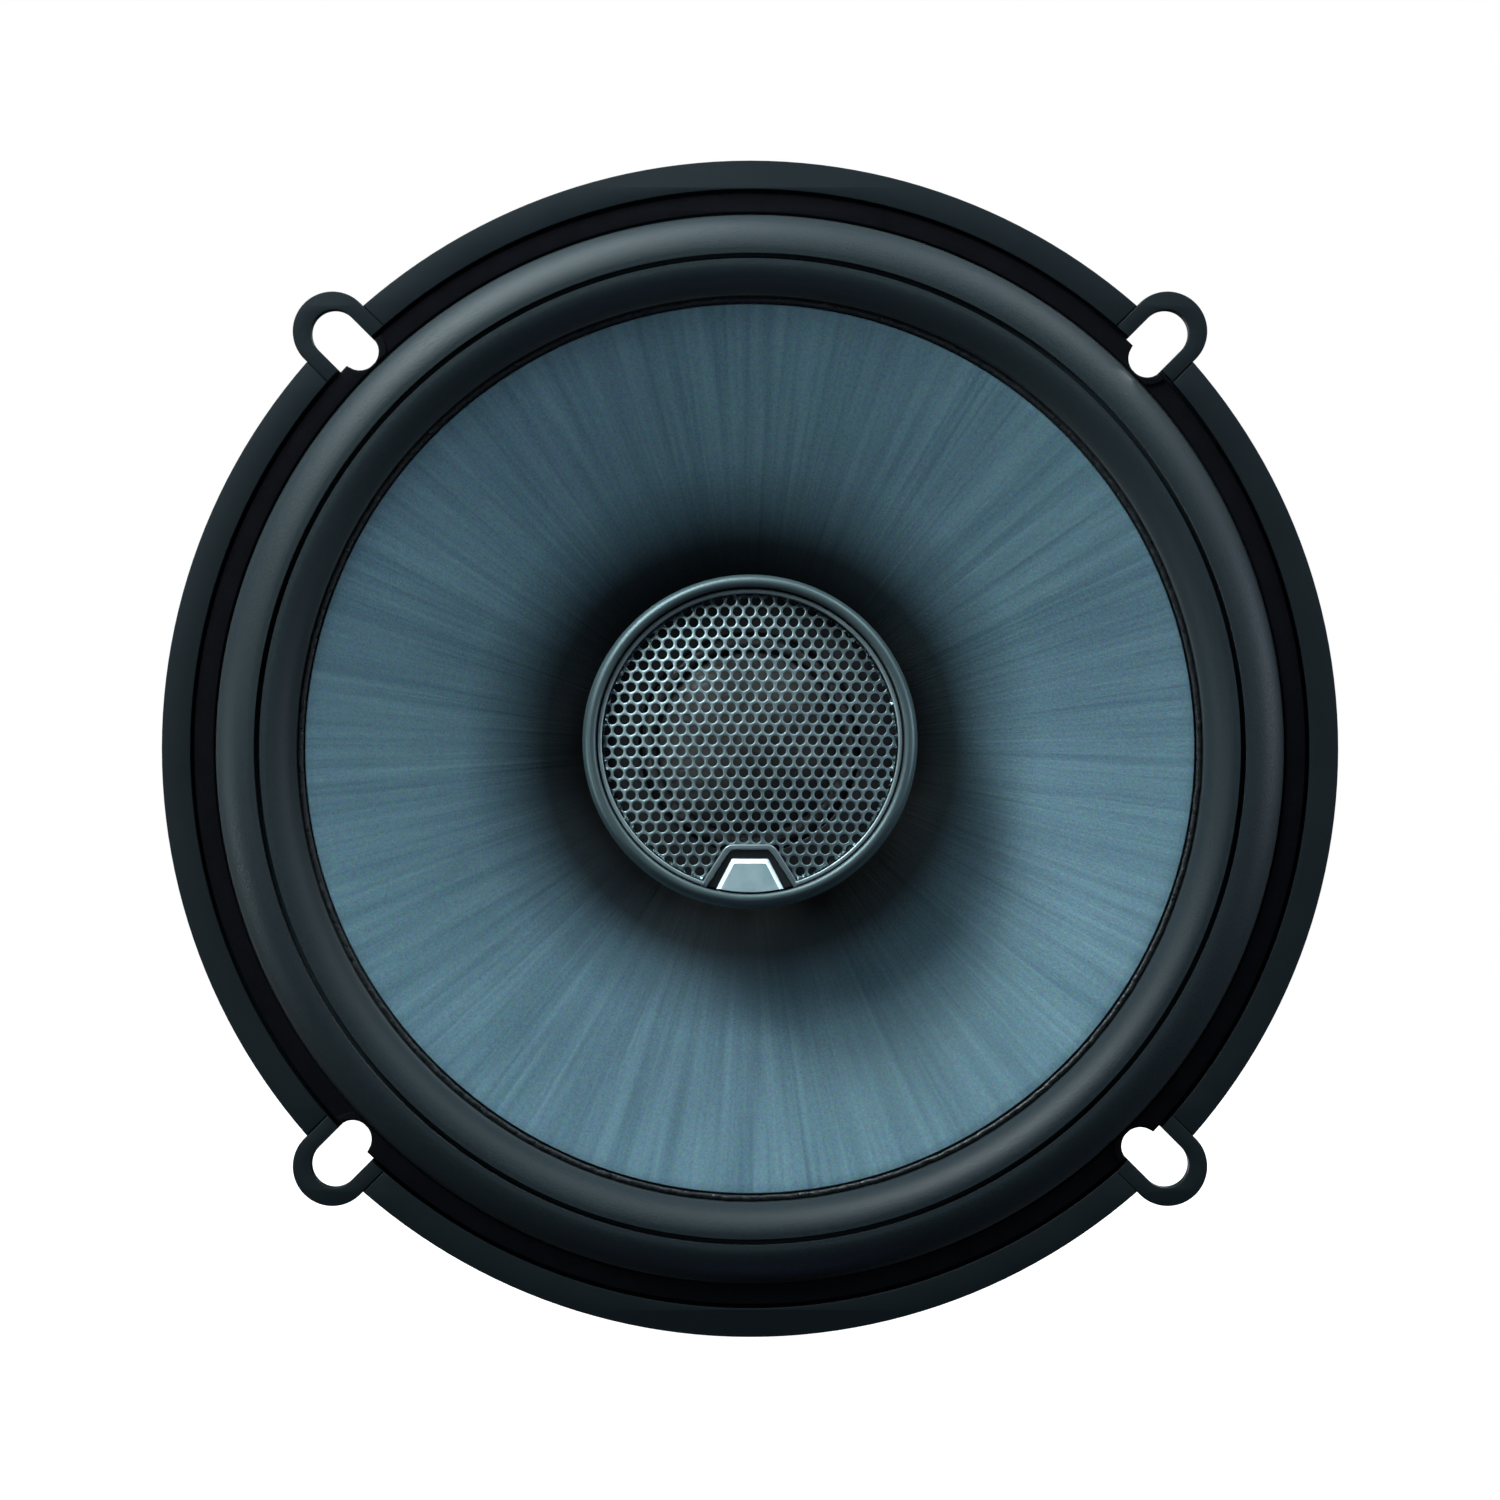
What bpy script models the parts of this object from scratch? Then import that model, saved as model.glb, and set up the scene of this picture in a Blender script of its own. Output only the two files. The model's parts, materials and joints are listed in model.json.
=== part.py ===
"""A 165 mm coaxial car speaker: pressed basket with a clip-on mounting ring, woven cone on a
two-lobe rubber surround, ferrite motor, and a small dome tweeter that swivels and tilts on a post.

The speaker stands upright as in a door: its axis is Y, the listener is towards -Y, +Z is up.
The origin is on the axis, in the plane where the ring's back face meets the panel.
Lengths below are in millimetres. "f" is a distance forward of that plane, "r" a radius.
"""
import math

import bmesh
import bpy
from mathutils import Matrix, Vector

MM = 0.001
FACING = math.radians(90)  # turns a piece's own +Z towards the listener
MERGE = 0.00001

BIG_STEPS = 32  # facets round the cone, surround, gasket and basket

# Mounting ring
RING_R = 82.5
RING_IN_R = 78.5
RING_TOP = 4.4
LEDGE_IN_R = 76.6
LEDGE_TOP = 1.0
TAB_ANGLES = (45, 135, 225, 315)
TAB_PITCH_R = 82.83
TAB_R = 5.57
SLOT_PITCH_R = 82.5
SLOT_R = 3.25
GROOVE = 0.25

# Basket flange, its notches and trim gasket
FLANGE_R = 78.1
FLANGE_TOP = 2.3
NOTCH_PITCH_R = 78.2
NOTCH_R = 2.6
NOTCH_SIDE = -0.7
GASKET = (75.15, 78.05, 3.0, 3.8)
LIP_RISE = 0.35
LIP_WIDTH = 1.0
WINDOWS = 6
WINDOW_HALF_ANGLE = 23.0
WINDOW_R = (47.5, 68.5)
SHEET = 1.2
SHELF_F = -24.4
FLOOR_F = -33.0
FLOOR_HOLE_R = 21.5
RIVET_PITCH_R = 30.0

# Moving parts of the woofer
CONE_EDGE = (62.5, 2.05)
CONE_BEND = (28.8, -8.25)
CONE_NECK = (18.1, -21.0)
CONE_THICK = 0.5
OUTER_LOBE = (70.1, 3.0, 4.65, 3.9)
CREASE = ((69.5, 6.2), (69.05, 5.2), (68.6, 6.1))
INNER_LOBE = (68.0, 2.95, 3.95, 3.8)
SURROUND_THICK = 0.5
FORMER = (17.4, 17.7, -40.5, -21.4)
WINDING = (17.8, 18.4, -40.4, -32.4)
SPIDER_F = -23.75
SPIDER_THICK = 0.4
SPIDER_R = (17.9, 43.4)

# Motor
FRONT_PLATE = (18.9, 37.5, -39.3, -34.3)
MAGNET = (22.0, 41.0, -52.4, -39.4)
POLE_R = 16.9
POLE_TOP = -34.2
BACK_PLATE = (37.5, -57.0, -52.5)
BORE_R = 5.2
COUNTERBORE = (8.5, -54.0)
BOOT_R = (41.3, 42.7)
BOOT_F = (-58.6, -38.0)
BOOT_HOLE_R = 9.2

# Post and swivel
POST_SHAFT_R = 4.0
POST_BORE_R = 2.2
POST_R = 8.0
POST_TOP = -11.7
SPINDLE_R = 4.2
SPINDLE_TOP = -6.6
HUB = (4.5, 9.0, -11.4, -7.6)
EAR_X = (6.2, 8.4)
EAR_R = 2.7
PIVOT_F = -3.2
PIN_R = 1.2
PIN_CLEAR = 0.15
TILT = 5.0  # degrees that the tweeter looks up

# Tweeter, with "g" a distance forward of the tilt axis along the tweeter's own axis
HOUSING_R = 23.4
BEZEL_G = (11.0, 14.2)
BEZEL_IN_R = 21.5
GRILLE_R = 20.4
GRILLE_TOP = 13.8
GRILLE_SPHERE = 95.7
GRILLE_THICK = 0.5
BADGE_Y = -18.0
DOME_R = 12.8

# Terminals
BOARD = (22.0, 26.0, 1.6)
BOARD_AT = 0.45  # share of the spoke's length, from its inner end
SPOKE_OUT = (73.7, -6.6)
SPOKE_IN = (44.6, -25.6)
BLADE_OUT = 8.5
CAN = (4.0, 15.0)

parts = None
cutters = None


def clear_scene():
    for item in list(bpy.data.objects):
        bpy.data.objects.remove(item, do_unlink=True)


def make_collections():
    global parts, cutters
    parts = bpy.data.collections.new("coaxial_speaker")
    cutters = bpy.data.collections.new("cutters")
    bpy.context.scene.collection.children.link(parts)
    bpy.context.scene.collection.children.link(cutters)


def material(name, colour, roughness, metallic=0.0):
    made = bpy.data.materials.new(name)
    made.use_nodes = True
    shader = made.node_tree.nodes["Principled BSDF"]
    shader.inputs["Base Color"].default_value = (*colour, 1.0)
    shader.inputs["Roughness"].default_value = roughness
    shader.inputs["Metallic"].default_value = metallic
    return made


def move_to(item, collection):
    for old in list(item.users_collection):
        old.objects.unlink(item)
    collection.objects.link(item)


def empty(name, location, rotation=(0, 0, 0), parent=None):
    made = bpy.data.objects.new(name, None)
    made.location = [v * MM for v in location]
    made.rotation_euler = rotation
    made.parent = parent
    parts.objects.link(made)
    return made


def finish(item, parent, look, smooth=True):
    item.parent = parent
    item.data.materials.clear()
    item.data.materials.append(look)
    if smooth:
        item.data.shade_smooth()
        item.data.set_sharp_from_angle(angle=math.radians(35))
    return item


def clockwise(profile):
    """A closed r-f outline that runs down its outer side, so that the turned faces look out."""
    area = 0.0
    for a, b in zip(profile, profile[1:] + profile[:1]):
        area += a[0] * b[1] - b[0] * a[1]
    return profile if area < 0 else profile[::-1]


def turned(name, profile, steps, parent, look, open_ends=False):
    """A solid of revolution round the parent's Z from an outline of (r, height).

    The outline is closed, or with open_ends it starts and ends on the axis.
    """
    points = list(profile) if open_ends else clockwise(list(profile))
    count = len(points)
    edges = [(i, (i + 1) % count) for i in range(count - 1 if open_ends else count)]
    mesh = bpy.data.meshes.new(name + "_profile")
    mesh.from_pydata([(r * MM, 0.0, h * MM) for r, h in points], edges, [])
    profile_item = bpy.data.objects.new(name + "_profile", mesh)
    parts.objects.link(profile_item)
    screw = profile_item.modifiers.new("turn", "SCREW")
    screw.axis = "Z"
    screw.steps = steps
    screw.render_steps = steps
    screw.use_merge_vertices = True
    screw.merge_threshold = MERGE
    item = as_mesh(profile_item, name, parts)
    return finish(item, parent, look)


def outline_solid(name, outlines, thickness, collection):
    """A flat plate from closed outlines of (x, y), the first one outside, the rest holes."""
    curve = bpy.data.curves.new(name, "CURVE")
    curve.dimensions = "2D"
    curve.fill_mode = "BOTH"
    curve.extrude = thickness * MM / 2
    for outline in outlines:
        spline = curve.splines.new("POLY")
        spline.points.add(len(outline) - 1)
        for point, (x, y) in zip(spline.points, outline):
            point.co = (x * MM, y * MM, 0.0, 1.0)
        spline.use_cyclic_u = True
    flat = bpy.data.objects.new(name + "_outline", curve)
    collection.objects.link(flat)
    return as_mesh(flat, name, collection)


def as_mesh(source, name, collection):
    """A mesh object from an evaluated curve or profile, with its loose seams welded."""
    bpy.context.view_layer.update()
    graph = bpy.context.evaluated_depsgraph_get()
    mesh = bpy.data.meshes.new_from_object(source.evaluated_get(graph))
    work = bmesh.new()
    work.from_mesh(mesh)
    bmesh.ops.remove_doubles(work, verts=work.verts, dist=MERGE)
    bmesh.ops.recalc_face_normals(work, faces=work.faces)
    work.to_mesh(mesh)
    work.free()
    item = bpy.data.objects.new(name, mesh)
    item.matrix_world = source.matrix_world
    bpy.data.objects.remove(source, do_unlink=True)
    mesh.name = name
    collection.objects.link(item)
    return item


def plate(name, outlines, bottom, thickness, parent, look):
    """An outline plate whose lower face is at height "bottom" in the parent's frame."""
    item = outline_solid(name, outlines, thickness, parts)
    item.location = (0, 0, (bottom + thickness / 2) * MM)
    return finish(item, parent, look)


def rod(name, radius, length, location, rotation, sides, collection):
    bpy.ops.mesh.primitive_cylinder_add(
        vertices=sides, radius=radius * MM, depth=length * MM,
        location=[v * MM for v in location], rotation=rotation)
    item = bpy.context.active_object
    item.name = name
    item.data.name = name
    move_to(item, collection)
    return item


def box(name, size, location, rotation, collection):
    bpy.ops.mesh.primitive_cube_add(size=1.0, location=[v * MM for v in location], rotation=rotation)
    item = bpy.context.active_object
    item.name = name
    item.data.name = name
    item.data.transform(Matrix.Diagonal([v * MM for v in size] + [1.0]))
    move_to(item, collection)
    return item


def as_cutter(item, parent):
    item.parent = parent
    item.hide_render = True
    item.display_type = "WIRE"
    return item


def combine(item, tool, operation="DIFFERENCE"):
    step = item.modifiers.new(operation.lower(), "BOOLEAN")
    step.operation = operation
    step.solver = "EXACT"
    step.object = tool


def tube(name, points, radius, parent, look):
    """A wire along points in the parent's frame."""
    curve = bpy.data.curves.new(name, "CURVE")
    curve.dimensions = "3D"
    curve.bevel_depth = radius * MM
    curve.bevel_resolution = 2
    curve.use_fill_caps = True
    spline = curve.splines.new("POLY")
    spline.points.add(len(points) - 1)
    for point, place in zip(spline.points, points):
        point.co = (*[v * MM for v in place], 1.0)
    item = bpy.data.objects.new(name, curve)
    parts.objects.link(item)
    item.parent = parent
    curve.materials.append(look)
    return item


def arc(centre, radius, start, end, count):
    """Points (x, y) of an arc, angles in degrees, both ends included."""
    out = []
    for i in range(count + 1):
        a = math.radians(start + (end - start) * i / count)
        out.append((centre[0] + radius * math.cos(a), centre[1] + radius * math.sin(a)))
    return out


def polar(radius, degrees, side=0.0):
    """A point at a radius on a bearing, moved sideways from it, counter-clockwise positive."""
    a = math.radians(degrees)
    return (radius * math.cos(a) - side * math.sin(a), radius * math.sin(a) + side * math.cos(a))


def bezier(a, b, c, count):
    out = []
    for i in range(count + 1):
        t = i / count
        out.append(tuple((1 - t) ** 2 * p + 2 * t * (1 - t) * q + t * t * s
                         for p, q, s in zip(a, b, c)))
    return out


def thickened(line, thickness):
    """The closed outline of a sheet that follows an open line of (r, height)."""
    left, right = [], []
    for i, point in enumerate(line):
        before = Vector(line[max(i - 1, 0)])
        after = Vector(line[min(i + 1, len(line) - 1)])
        along = (after - before).normalized()
        across = Vector((-along.y, along.x)) * thickness / 2
        left.append(tuple(Vector(point) + across))
        right.append(tuple(Vector(point) - across))
    return left + right[::-1]


# Ring, basket and gasket

def ring_outline():
    """The ring's outer edge with its four rounded tabs."""
    out = []
    meet = math.degrees(math.asin(TAB_R / RING_R))
    for number, bearing in enumerate(TAB_ANGLES):
        for x, y in arc((TAB_PITCH_R, 0), TAB_R, -90, 90, 10):
            out.append(polar(math.hypot(x, y), bearing + math.degrees(math.atan2(y, x))))
        out += arc((0, 0), RING_R, bearing + meet + 0.4, bearing + 90 - meet - 0.4, 14)
    return out


def slot_outline(bearing):
    """A screw slot, round at its outer end and open across the ring."""
    out = [polar(LEDGE_IN_R - 3, bearing, -SLOT_R)]
    for x, y in arc((SLOT_PITCH_R, 0), SLOT_R, -90, 90, 8):
        out.append(polar(x, bearing, y))
    out.append(polar(LEDGE_IN_R - 3, bearing, SLOT_R))
    return out


def make_mounting_ring(front, look):
    bore = arc((0, 0), LEDGE_IN_R, 0, 360, 48)[:-1]
    ring = plate("mounting_ring", [ring_outline(), bore], 0.0, RING_TOP, front, look)
    recess = rod("ring_recess", RING_IN_R, 10.0, (0, 0, LEDGE_TOP + 5.0), (0, 0, 0), 48, cutters)
    combine(ring, as_cutter(recess, front))
    for bearing in TAB_ANGLES:
        slot = outline_solid(f"slot_{bearing}", [slot_outline(bearing)], 20.0, cutters)
        combine(ring, as_cutter(slot, front))
        for side in (-1, 1):
            x, y = polar(80.2, bearing, side * (TAB_R - 0.1))
            groove = box(f"groove_{bearing}_{side}", (4.4, GROOVE, 2 * GROOVE), (x, y, RING_TOP),
                         (0, 0, math.radians(bearing)), cutters)
            combine(ring, as_cutter(groove, front))
    return ring


def make_notch_cutters(front):
    made = []
    for bearing in TAB_ANGLES:
        x, y = polar(NOTCH_PITCH_R, bearing, NOTCH_SIDE)
        notch = rod(f"notch_{bearing}", NOTCH_R, 20.0, (x, y, 3.0),
                    (0, 0, math.radians(bearing + 11.25)), 20, cutters)
        made.append(as_cutter(notch, front))
    return made


def window_outline(bearing):
    """One window between two spokes, with its corners rounded."""
    low, high = WINDOW_R
    half = WINDOW_HALF_ANGLE
    out = arc((0, 0), high, bearing - half + 3, bearing + half - 3, 8)
    out.append(polar(high - 0.8, bearing + half - 0.9))
    out.append(polar(high - 3.0, bearing + half))
    out.append(polar(low + 3.0, bearing + half))
    out.append(polar(low + 0.8, bearing + half - 1.2))
    out += arc((0, 0), low, bearing + half - 4, bearing - half + 4, 6)
    out.append(polar(low + 0.8, bearing - half + 1.2))
    out.append(polar(low + 3.0, bearing - half))
    out.append(polar(high - 3.0, bearing - half))
    out.append(polar(high - 0.8, bearing - half + 0.9))
    return out


def make_basket(front, look, notches):
    """Pressed sheet: flange, short wall, spoked cone, spider shelf, neck and floor."""
    profile = [
        (FLANGE_R, FLANGE_TOP), (74.6, FLANGE_TOP), (73.8, 1.5), (72.6, -6.0),
        (44.2, SHELF_F), (38.2, SHELF_F), (38.2, FLOOR_F), (FLOOR_HOLE_R, FLOOR_F),
        (FLOOR_HOLE_R, FLOOR_F - SHEET), (39.4, FLOOR_F - SHEET), (39.4, SHELF_F - SHEET),
        SPOKE_IN, SPOKE_OUT, (75.0, 0.9), (75.4, FLANGE_TOP - 1.0), (FLANGE_R, FLANGE_TOP - 1.0),
    ]
    basket = turned("basket", profile, BIG_STEPS, front, look)
    for number in range(WINDOWS):
        bearing = 30 + number * 360 / WINDOWS
        window = outline_solid(f"window_{number}", [window_outline(bearing)], 60.0, cutters)
        window.location = (0, 0, -33.5 * MM)
        combine(basket, as_cutter(window, front))
    for notch in notches:
        combine(basket, notch)
    return basket


def make_gasket(front, look, notches):
    """Moulded trim ring over the surround's foot, with a raised lip beside each notch."""
    inner, outer, low, top = GASKET
    profile = [(inner, low), (inner, top - 0.3), (inner + 0.3, top), (outer - 0.2, top),
               (outer, top - 0.2), (outer, low)]
    gasket = turned("trim_gasket", profile, BIG_STEPS, front, look)
    for bearing in TAB_ANGLES:
        x, y = polar(NOTCH_PITCH_R - 0.55, bearing, NOTCH_SIDE - 0.1)
        lip = rod(f"lip_{bearing}", NOTCH_R + LIP_WIDTH - 0.6, top - low - 0.2 + LIP_RISE,
                  (x, y, (top + LIP_RISE + low + 0.2) / 2), (0, 0, 0), 20, cutters)
        keep = make_band_keeper(bearing, inner + 0.12, outer - 0.07, low - 1, top + 3, front)
        combine(lip, keep, "INTERSECT")
        combine(gasket, as_cutter(lip, front), "UNION")
    for notch in notches:
        combine(gasket, notch)
    return gasket


def make_band_keeper(bearing, inner, outer, low, top, front):
    """A short piece of the gasket's band, to trim a lip to its width."""
    outline = arc((0, 0), outer, bearing - 6, bearing + 6, 8)
    outline += arc((0, 0), inner, bearing + 6, bearing - 6, 8)
    keeper = outline_solid(f"band_{bearing}", [outline], top - low, cutters)
    keeper.location = (0, 0, (low + top) / 2 * MM)
    return as_cutter(keeper, front)


# Cone, surround and spider

def cone_line(count):
    line = bezier(CONE_EDGE, CONE_BEND, CONE_NECK, count)
    return line + [(CONE_NECK[0], CONE_NECK[1] - 1.5)]


def surround_line(count):
    """Foot, outer lobe, crease, inner lobe and inner foot, from the outside in."""
    r0, f0, wide, high = OUTER_LOBE
    line = [(77.9, 2.65), (75.1, 2.65)]
    for i in range(count + 1):
        a = math.radians(4 + (90 - 4) * i / count)
        line.append((r0 + wide * math.cos(a), f0 + high * math.sin(a)))
    line += CREASE
    r0, f0, wide, high = INNER_LOBE
    for i in range(count + 1):
        a = math.radians(90 + 90 * i / count)
        line.append((r0 + wide * math.cos(a), f0 + high * math.sin(a)))
    return line + [(63.95, 1.75), (61.3, 0.95)]


def make_surround(front, look, notches):
    surround = turned("surround", thickened(surround_line(3), SURROUND_THICK), BIG_STEPS, front, look)
    for notch in notches:
        combine(surround, notch)
    return surround


def make_spider(front, look):
    """Corrugated cloth: three waves between a flat collar and a flat outer foot."""
    inner, outer = SPIDER_R
    line = [(inner, SPIDER_F - 0.2), (20.4, SPIDER_F - 0.2)]
    waves = 3
    span = 37.2 - 21.2
    for i in range(waves * 2):
        lift = 1.15 if i % 2 == 0 else -0.95
        line.append((21.2 + span * (i + 0.5) / (waves * 2), SPIDER_F + lift))
    line += [(38.4, SPIDER_F - 0.35), (outer, SPIDER_F - 0.35)]
    return turned("spider", thickened(line, SPIDER_THICK), 28, front, look)


def make_cone_parts(cone_frame, looks):
    turned("cone", thickened(cone_line(5), CONE_THICK), BIG_STEPS, cone_frame, looks["cloth"])
    bead = [(62.75, 1.8), (62.75, 2.25), (63.1, 2.5), (63.5, 2.25), (63.5, 1.98)]
    turned("glue_bead", bead, BIG_STEPS, cone_frame, looks["glue"])
    inner, outer, low, top = FORMER
    turned("coil_former", [(inner, low), (inner, top), (outer, top), (outer, low)], 24,
           cone_frame, looks["paper"])
    inner, outer, low, top = WINDING
    turned("coil_winding", [(inner, low), (inner, top), (outer, top), (outer, low)], 24,
           cone_frame, looks["copper"])


# Motor

def make_motor(front, looks):
    inner, outer, low, top = FRONT_PLATE
    turned("front_plate", [(inner, low), (inner, top), (outer - 0.4, top), (outer, top - 0.4),
                           (outer, low)], 28, front, looks["zinc"])
    inner, outer, low, top = MAGNET
    turned("ferrite_magnet", [(inner, low), (inner, top), (outer - 0.6, top), (outer, top - 0.6),
                              (outer, low + 0.6), (outer - 0.6, low)], 28, front, looks["ferrite"])
    radius, low, top = BACK_PLATE
    wide, deep = COUNTERBORE
    yoke = [(BORE_R, POLE_TOP), (POLE_R - 0.5, POLE_TOP), (POLE_R, POLE_TOP - 0.5), (POLE_R, top),
            (radius, top), (radius, low), (wide, low), (wide, deep), (BORE_R, deep)]
    turned("yoke", yoke, 28, front, looks["zinc"])
    inner, outer = BOOT_R
    low, top = BOOT_F
    boot = [(inner, top), (outer, top), (outer, low + 2.2), (outer - 0.7, low + 0.7),
            (outer - 2.2, low), (BOOT_HOLE_R, low), (BOOT_HOLE_R, low + 1.3),
            (inner, low + 1.3)]
    turned("magnet_boot", boot, 32, front, looks["rubber"])
    turned("pole_felt", [(9.3, -34.0), (9.3, -32.6), (16.5, -32.6), (16.5, -34.0)], 24, front,
           looks["felt"])


def make_rivets(front, basket, look):
    """Four rivets through the basket floor into blind holes of the front plate."""
    plate_item = bpy.data.objects["front_plate"]
    head = FLOOR_F + 0.1
    for number in range(4):
        x, y = polar(RIVET_PITCH_R, 45 + 90 * number)
        hole = rod(f"rivet_hole_{number}", 1.65, 5.0, (x, y, FLOOR_F - 2.0), (0, 0, 0), 12, cutters)
        hole = as_cutter(hole, front)
        combine(basket, hole)
        combine(plate_item, hole)
        centre = empty(f"rivet_place_{number}", (x, y, 0), parent=front)
        profile = [(0, head + 1.3), (1.4, head + 1.1), (2.6, head + 0.4), (2.7, head),
                   (1.4, head), (1.4, head - 3.6), (0, head - 3.6)]
        turned(f"basket_rivet_{number + 1}", profile, 12, centre, look, open_ends=True)


def make_post(front, looks):
    profile = [
        (POST_BORE_R, -58.0), (POST_BORE_R, SPINDLE_TOP), (SPINDLE_R - 0.3, SPINDLE_TOP),
        (SPINDLE_R, SPINDLE_TOP - 0.3), (SPINDLE_R, POST_TOP), (POST_R - 0.6, POST_TOP),
        (POST_R, POST_TOP - 0.6), (POST_R, -30.5), (9.0, -31.2), (9.0, -34.0), (POST_SHAFT_R, -34.0),
        (POST_SHAFT_R, -58.0),
    ]
    turned("tweeter_post", profile, 20, front, looks["plastic"])
    turned("post_washer", [(4.2, -54.9), (4.2, -54.15), (7.6, -54.15), (7.6, -54.9)], 20, front,
           looks["zinc"])
    nut = rod("post_nut", 6.35, 3.0, (0, 0, -56.55), (0, 0, 0), 6, parts)
    bore = as_cutter(rod("nut_bore", 4.15, 10.0, (0, 0, -56.5), (0, 0, 0), 20, cutters), front)
    combine(nut, bore)
    finish(nut, front, looks["zinc"], smooth=False)
    turned("swivel_clip", [(4.35, -7.4), (4.35, -6.85), (5.9, -6.85), (5.9, -7.4)], 16, front,
           looks["zinc"])


# Swivel and tweeter

def ear_outline():
    """Side view of one ear, upright from the hub to round the pin."""
    out = [(-EAR_R - 1.2, HUB[3] - PIVOT_F - 1.0), (EAR_R + 1.2, HUB[3] - PIVOT_F - 1.0)]
    out += [(EAR_R, -2.0)]
    out += arc((0, 0), EAR_R, 0, 180, 10)
    out += [(-EAR_R, -2.0)]
    return out


def make_swivel(swivel, looks):
    inner, outer, low, top = HUB
    hub = turned("swivel_collar", [(inner, low), (inner, top), (outer - 0.5, top),
                                   (outer, top - 0.5), (outer, low)], 20, swivel, looks["plastic"])
    for side in (-1, 1):
        ear = outline_solid(f"ear_{side}", [ear_outline()], EAR_X[1] - EAR_X[0], cutters)
        ear.matrix_local = Matrix.Translation((side * sum(EAR_X) / 2 * MM, 0, PIVOT_F * MM)) @ \
            Matrix(((0, 0, 1, 0), (1, 0, 0, 0), (0, 1, 0, 0), (0, 0, 0, 1)))
        combine(hub, as_cutter(ear, swivel), "UNION")
    eye = rod("ear_bore", PIN_R + 0.05, 30.0, (0, 0, PIVOT_F), (0, FACING, 0), 20, cutters)
    combine(hub, as_cutter(eye, swivel))
    pin = rod("tilt_pin", PIN_R, 2 * EAR_X[1] + 0.6, (0, 0, PIVOT_F), (0, FACING, 0), 16, parts)
    finish(pin, swivel, looks["zinc"])


def make_housing(tilt, look):
    profile = [
        (21.4, 10.9), (HOUSING_R - 0.3, 10.9), (HOUSING_R - 0.3, 7.2), (22.4, 6.2), (16.6, 6.2),
        (16.2, 3.9), (15.4, 3.2), (0, 3.2), (0, 4.5), (15.1, 4.5), (15.1, 8.7), (21.4, 8.7),
    ]
    housing = turned("tweeter_housing", profile, 32, tilt, look)
    knuckle = rod("knuckle", EAR_R, 2 * EAR_X[0] - 0.6, (0, 0, 0), (0, FACING, 0), 20, cutters)
    neck = box("neck", (2 * EAR_X[0] - 0.8, 2 * EAR_R - 0.6, 4.0), (0, 0, 2.0), (0, 0, 0), cutters)
    combine(knuckle, as_cutter(neck, tilt), "UNION")
    combine(housing, as_cutter(knuckle, tilt), "UNION")
    bore = rod("knuckle_bore", PIN_R + PIN_CLEAR, 30.0, (0, 0, 0), (0, FACING, 0), 20, cutters)
    combine(housing, as_cutter(bore, tilt))
    return housing


def grille_height(r, drop=0.0):
    return GRILLE_TOP - drop - r * r / (2 * GRILLE_SPHERE)


def make_grille(tilt, looks):
    steps = 4
    top = [(GRILLE_R * i / steps, grille_height(GRILLE_R * i / steps)) for i in range(steps + 1)]
    under = [(r, h - GRILLE_THICK) for r, h in top[::-1]]
    turned("tweeter_grille", top + under, 32, tilt, looks["grille"], open_ends=True)


def badge_outline(half_top, half_low, top, corner, bow):
    """A trapezium that widens downwards, with rounded upper corners and a bowed lower edge.

    The half widths are where the straight sides would meet the top and lower edges.
    """
    low_y = -math.sqrt(bow * bow - half_low * half_low)
    lean = math.degrees(math.atan2(half_low - half_top, top - low_y))
    centre_x = half_top - corner * math.tan(math.radians(90 - lean) / 2)
    start = math.degrees(math.atan2(low_y, half_low))
    end = math.degrees(math.atan2(low_y, -half_low))
    out = arc((centre_x, top - corner), corner, 90, lean, 4)
    out += arc((0, 0), bow, start, end, 6)
    out += arc((-centre_x, top - corner), corner, 180 - lean, 90, 4)
    return [(x, y - BADGE_Y) for x, y in out]


def make_badge(tilt, looks):
    """Lip ring that opens into a raised frame at the bottom, with a base and a blank plate in it."""
    lip = turned("grille_frame", [(20.7, 11.6), (20.7, 12.9), (20.85, 13.1), (21.15, 13.1),
                                  (21.3, 12.9), (21.3, 11.6)], 36, tilt, looks["frame"])
    slope = math.atan2(-BADGE_Y, GRILLE_SPHERE)
    base = grille_height(-BADGE_Y)
    seat = empty("badge_seat", (0, BADGE_Y, base), (slope, 0, 0), tilt)
    frame = outline_solid("badge_frame", [badge_outline(3.26, 6.87, -14.36, 1.7, 21.25)], 0.9, cutters)
    frame.location = (0, 0, 0.75 * MM)
    combine(lip, as_cutter(frame, seat), "UNION")
    window = outline_solid("badge_window", [badge_outline(2.77, 6.97, -15.01, 1.2, 23.0)], 12.0, cutters)
    combine(lip, as_cutter(window, seat))
    plate("badge_base", [badge_outline(2.68, 5.94, -15.12, 1.15, 21.05)], 0.06, 0.44, seat,
          looks["plastic"])
    plate("badge_plate", [badge_outline(2.55, 4.69, -16.38, 0.35, 21.1)], 0.55, 0.75, seat,
          looks["badge"])


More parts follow.
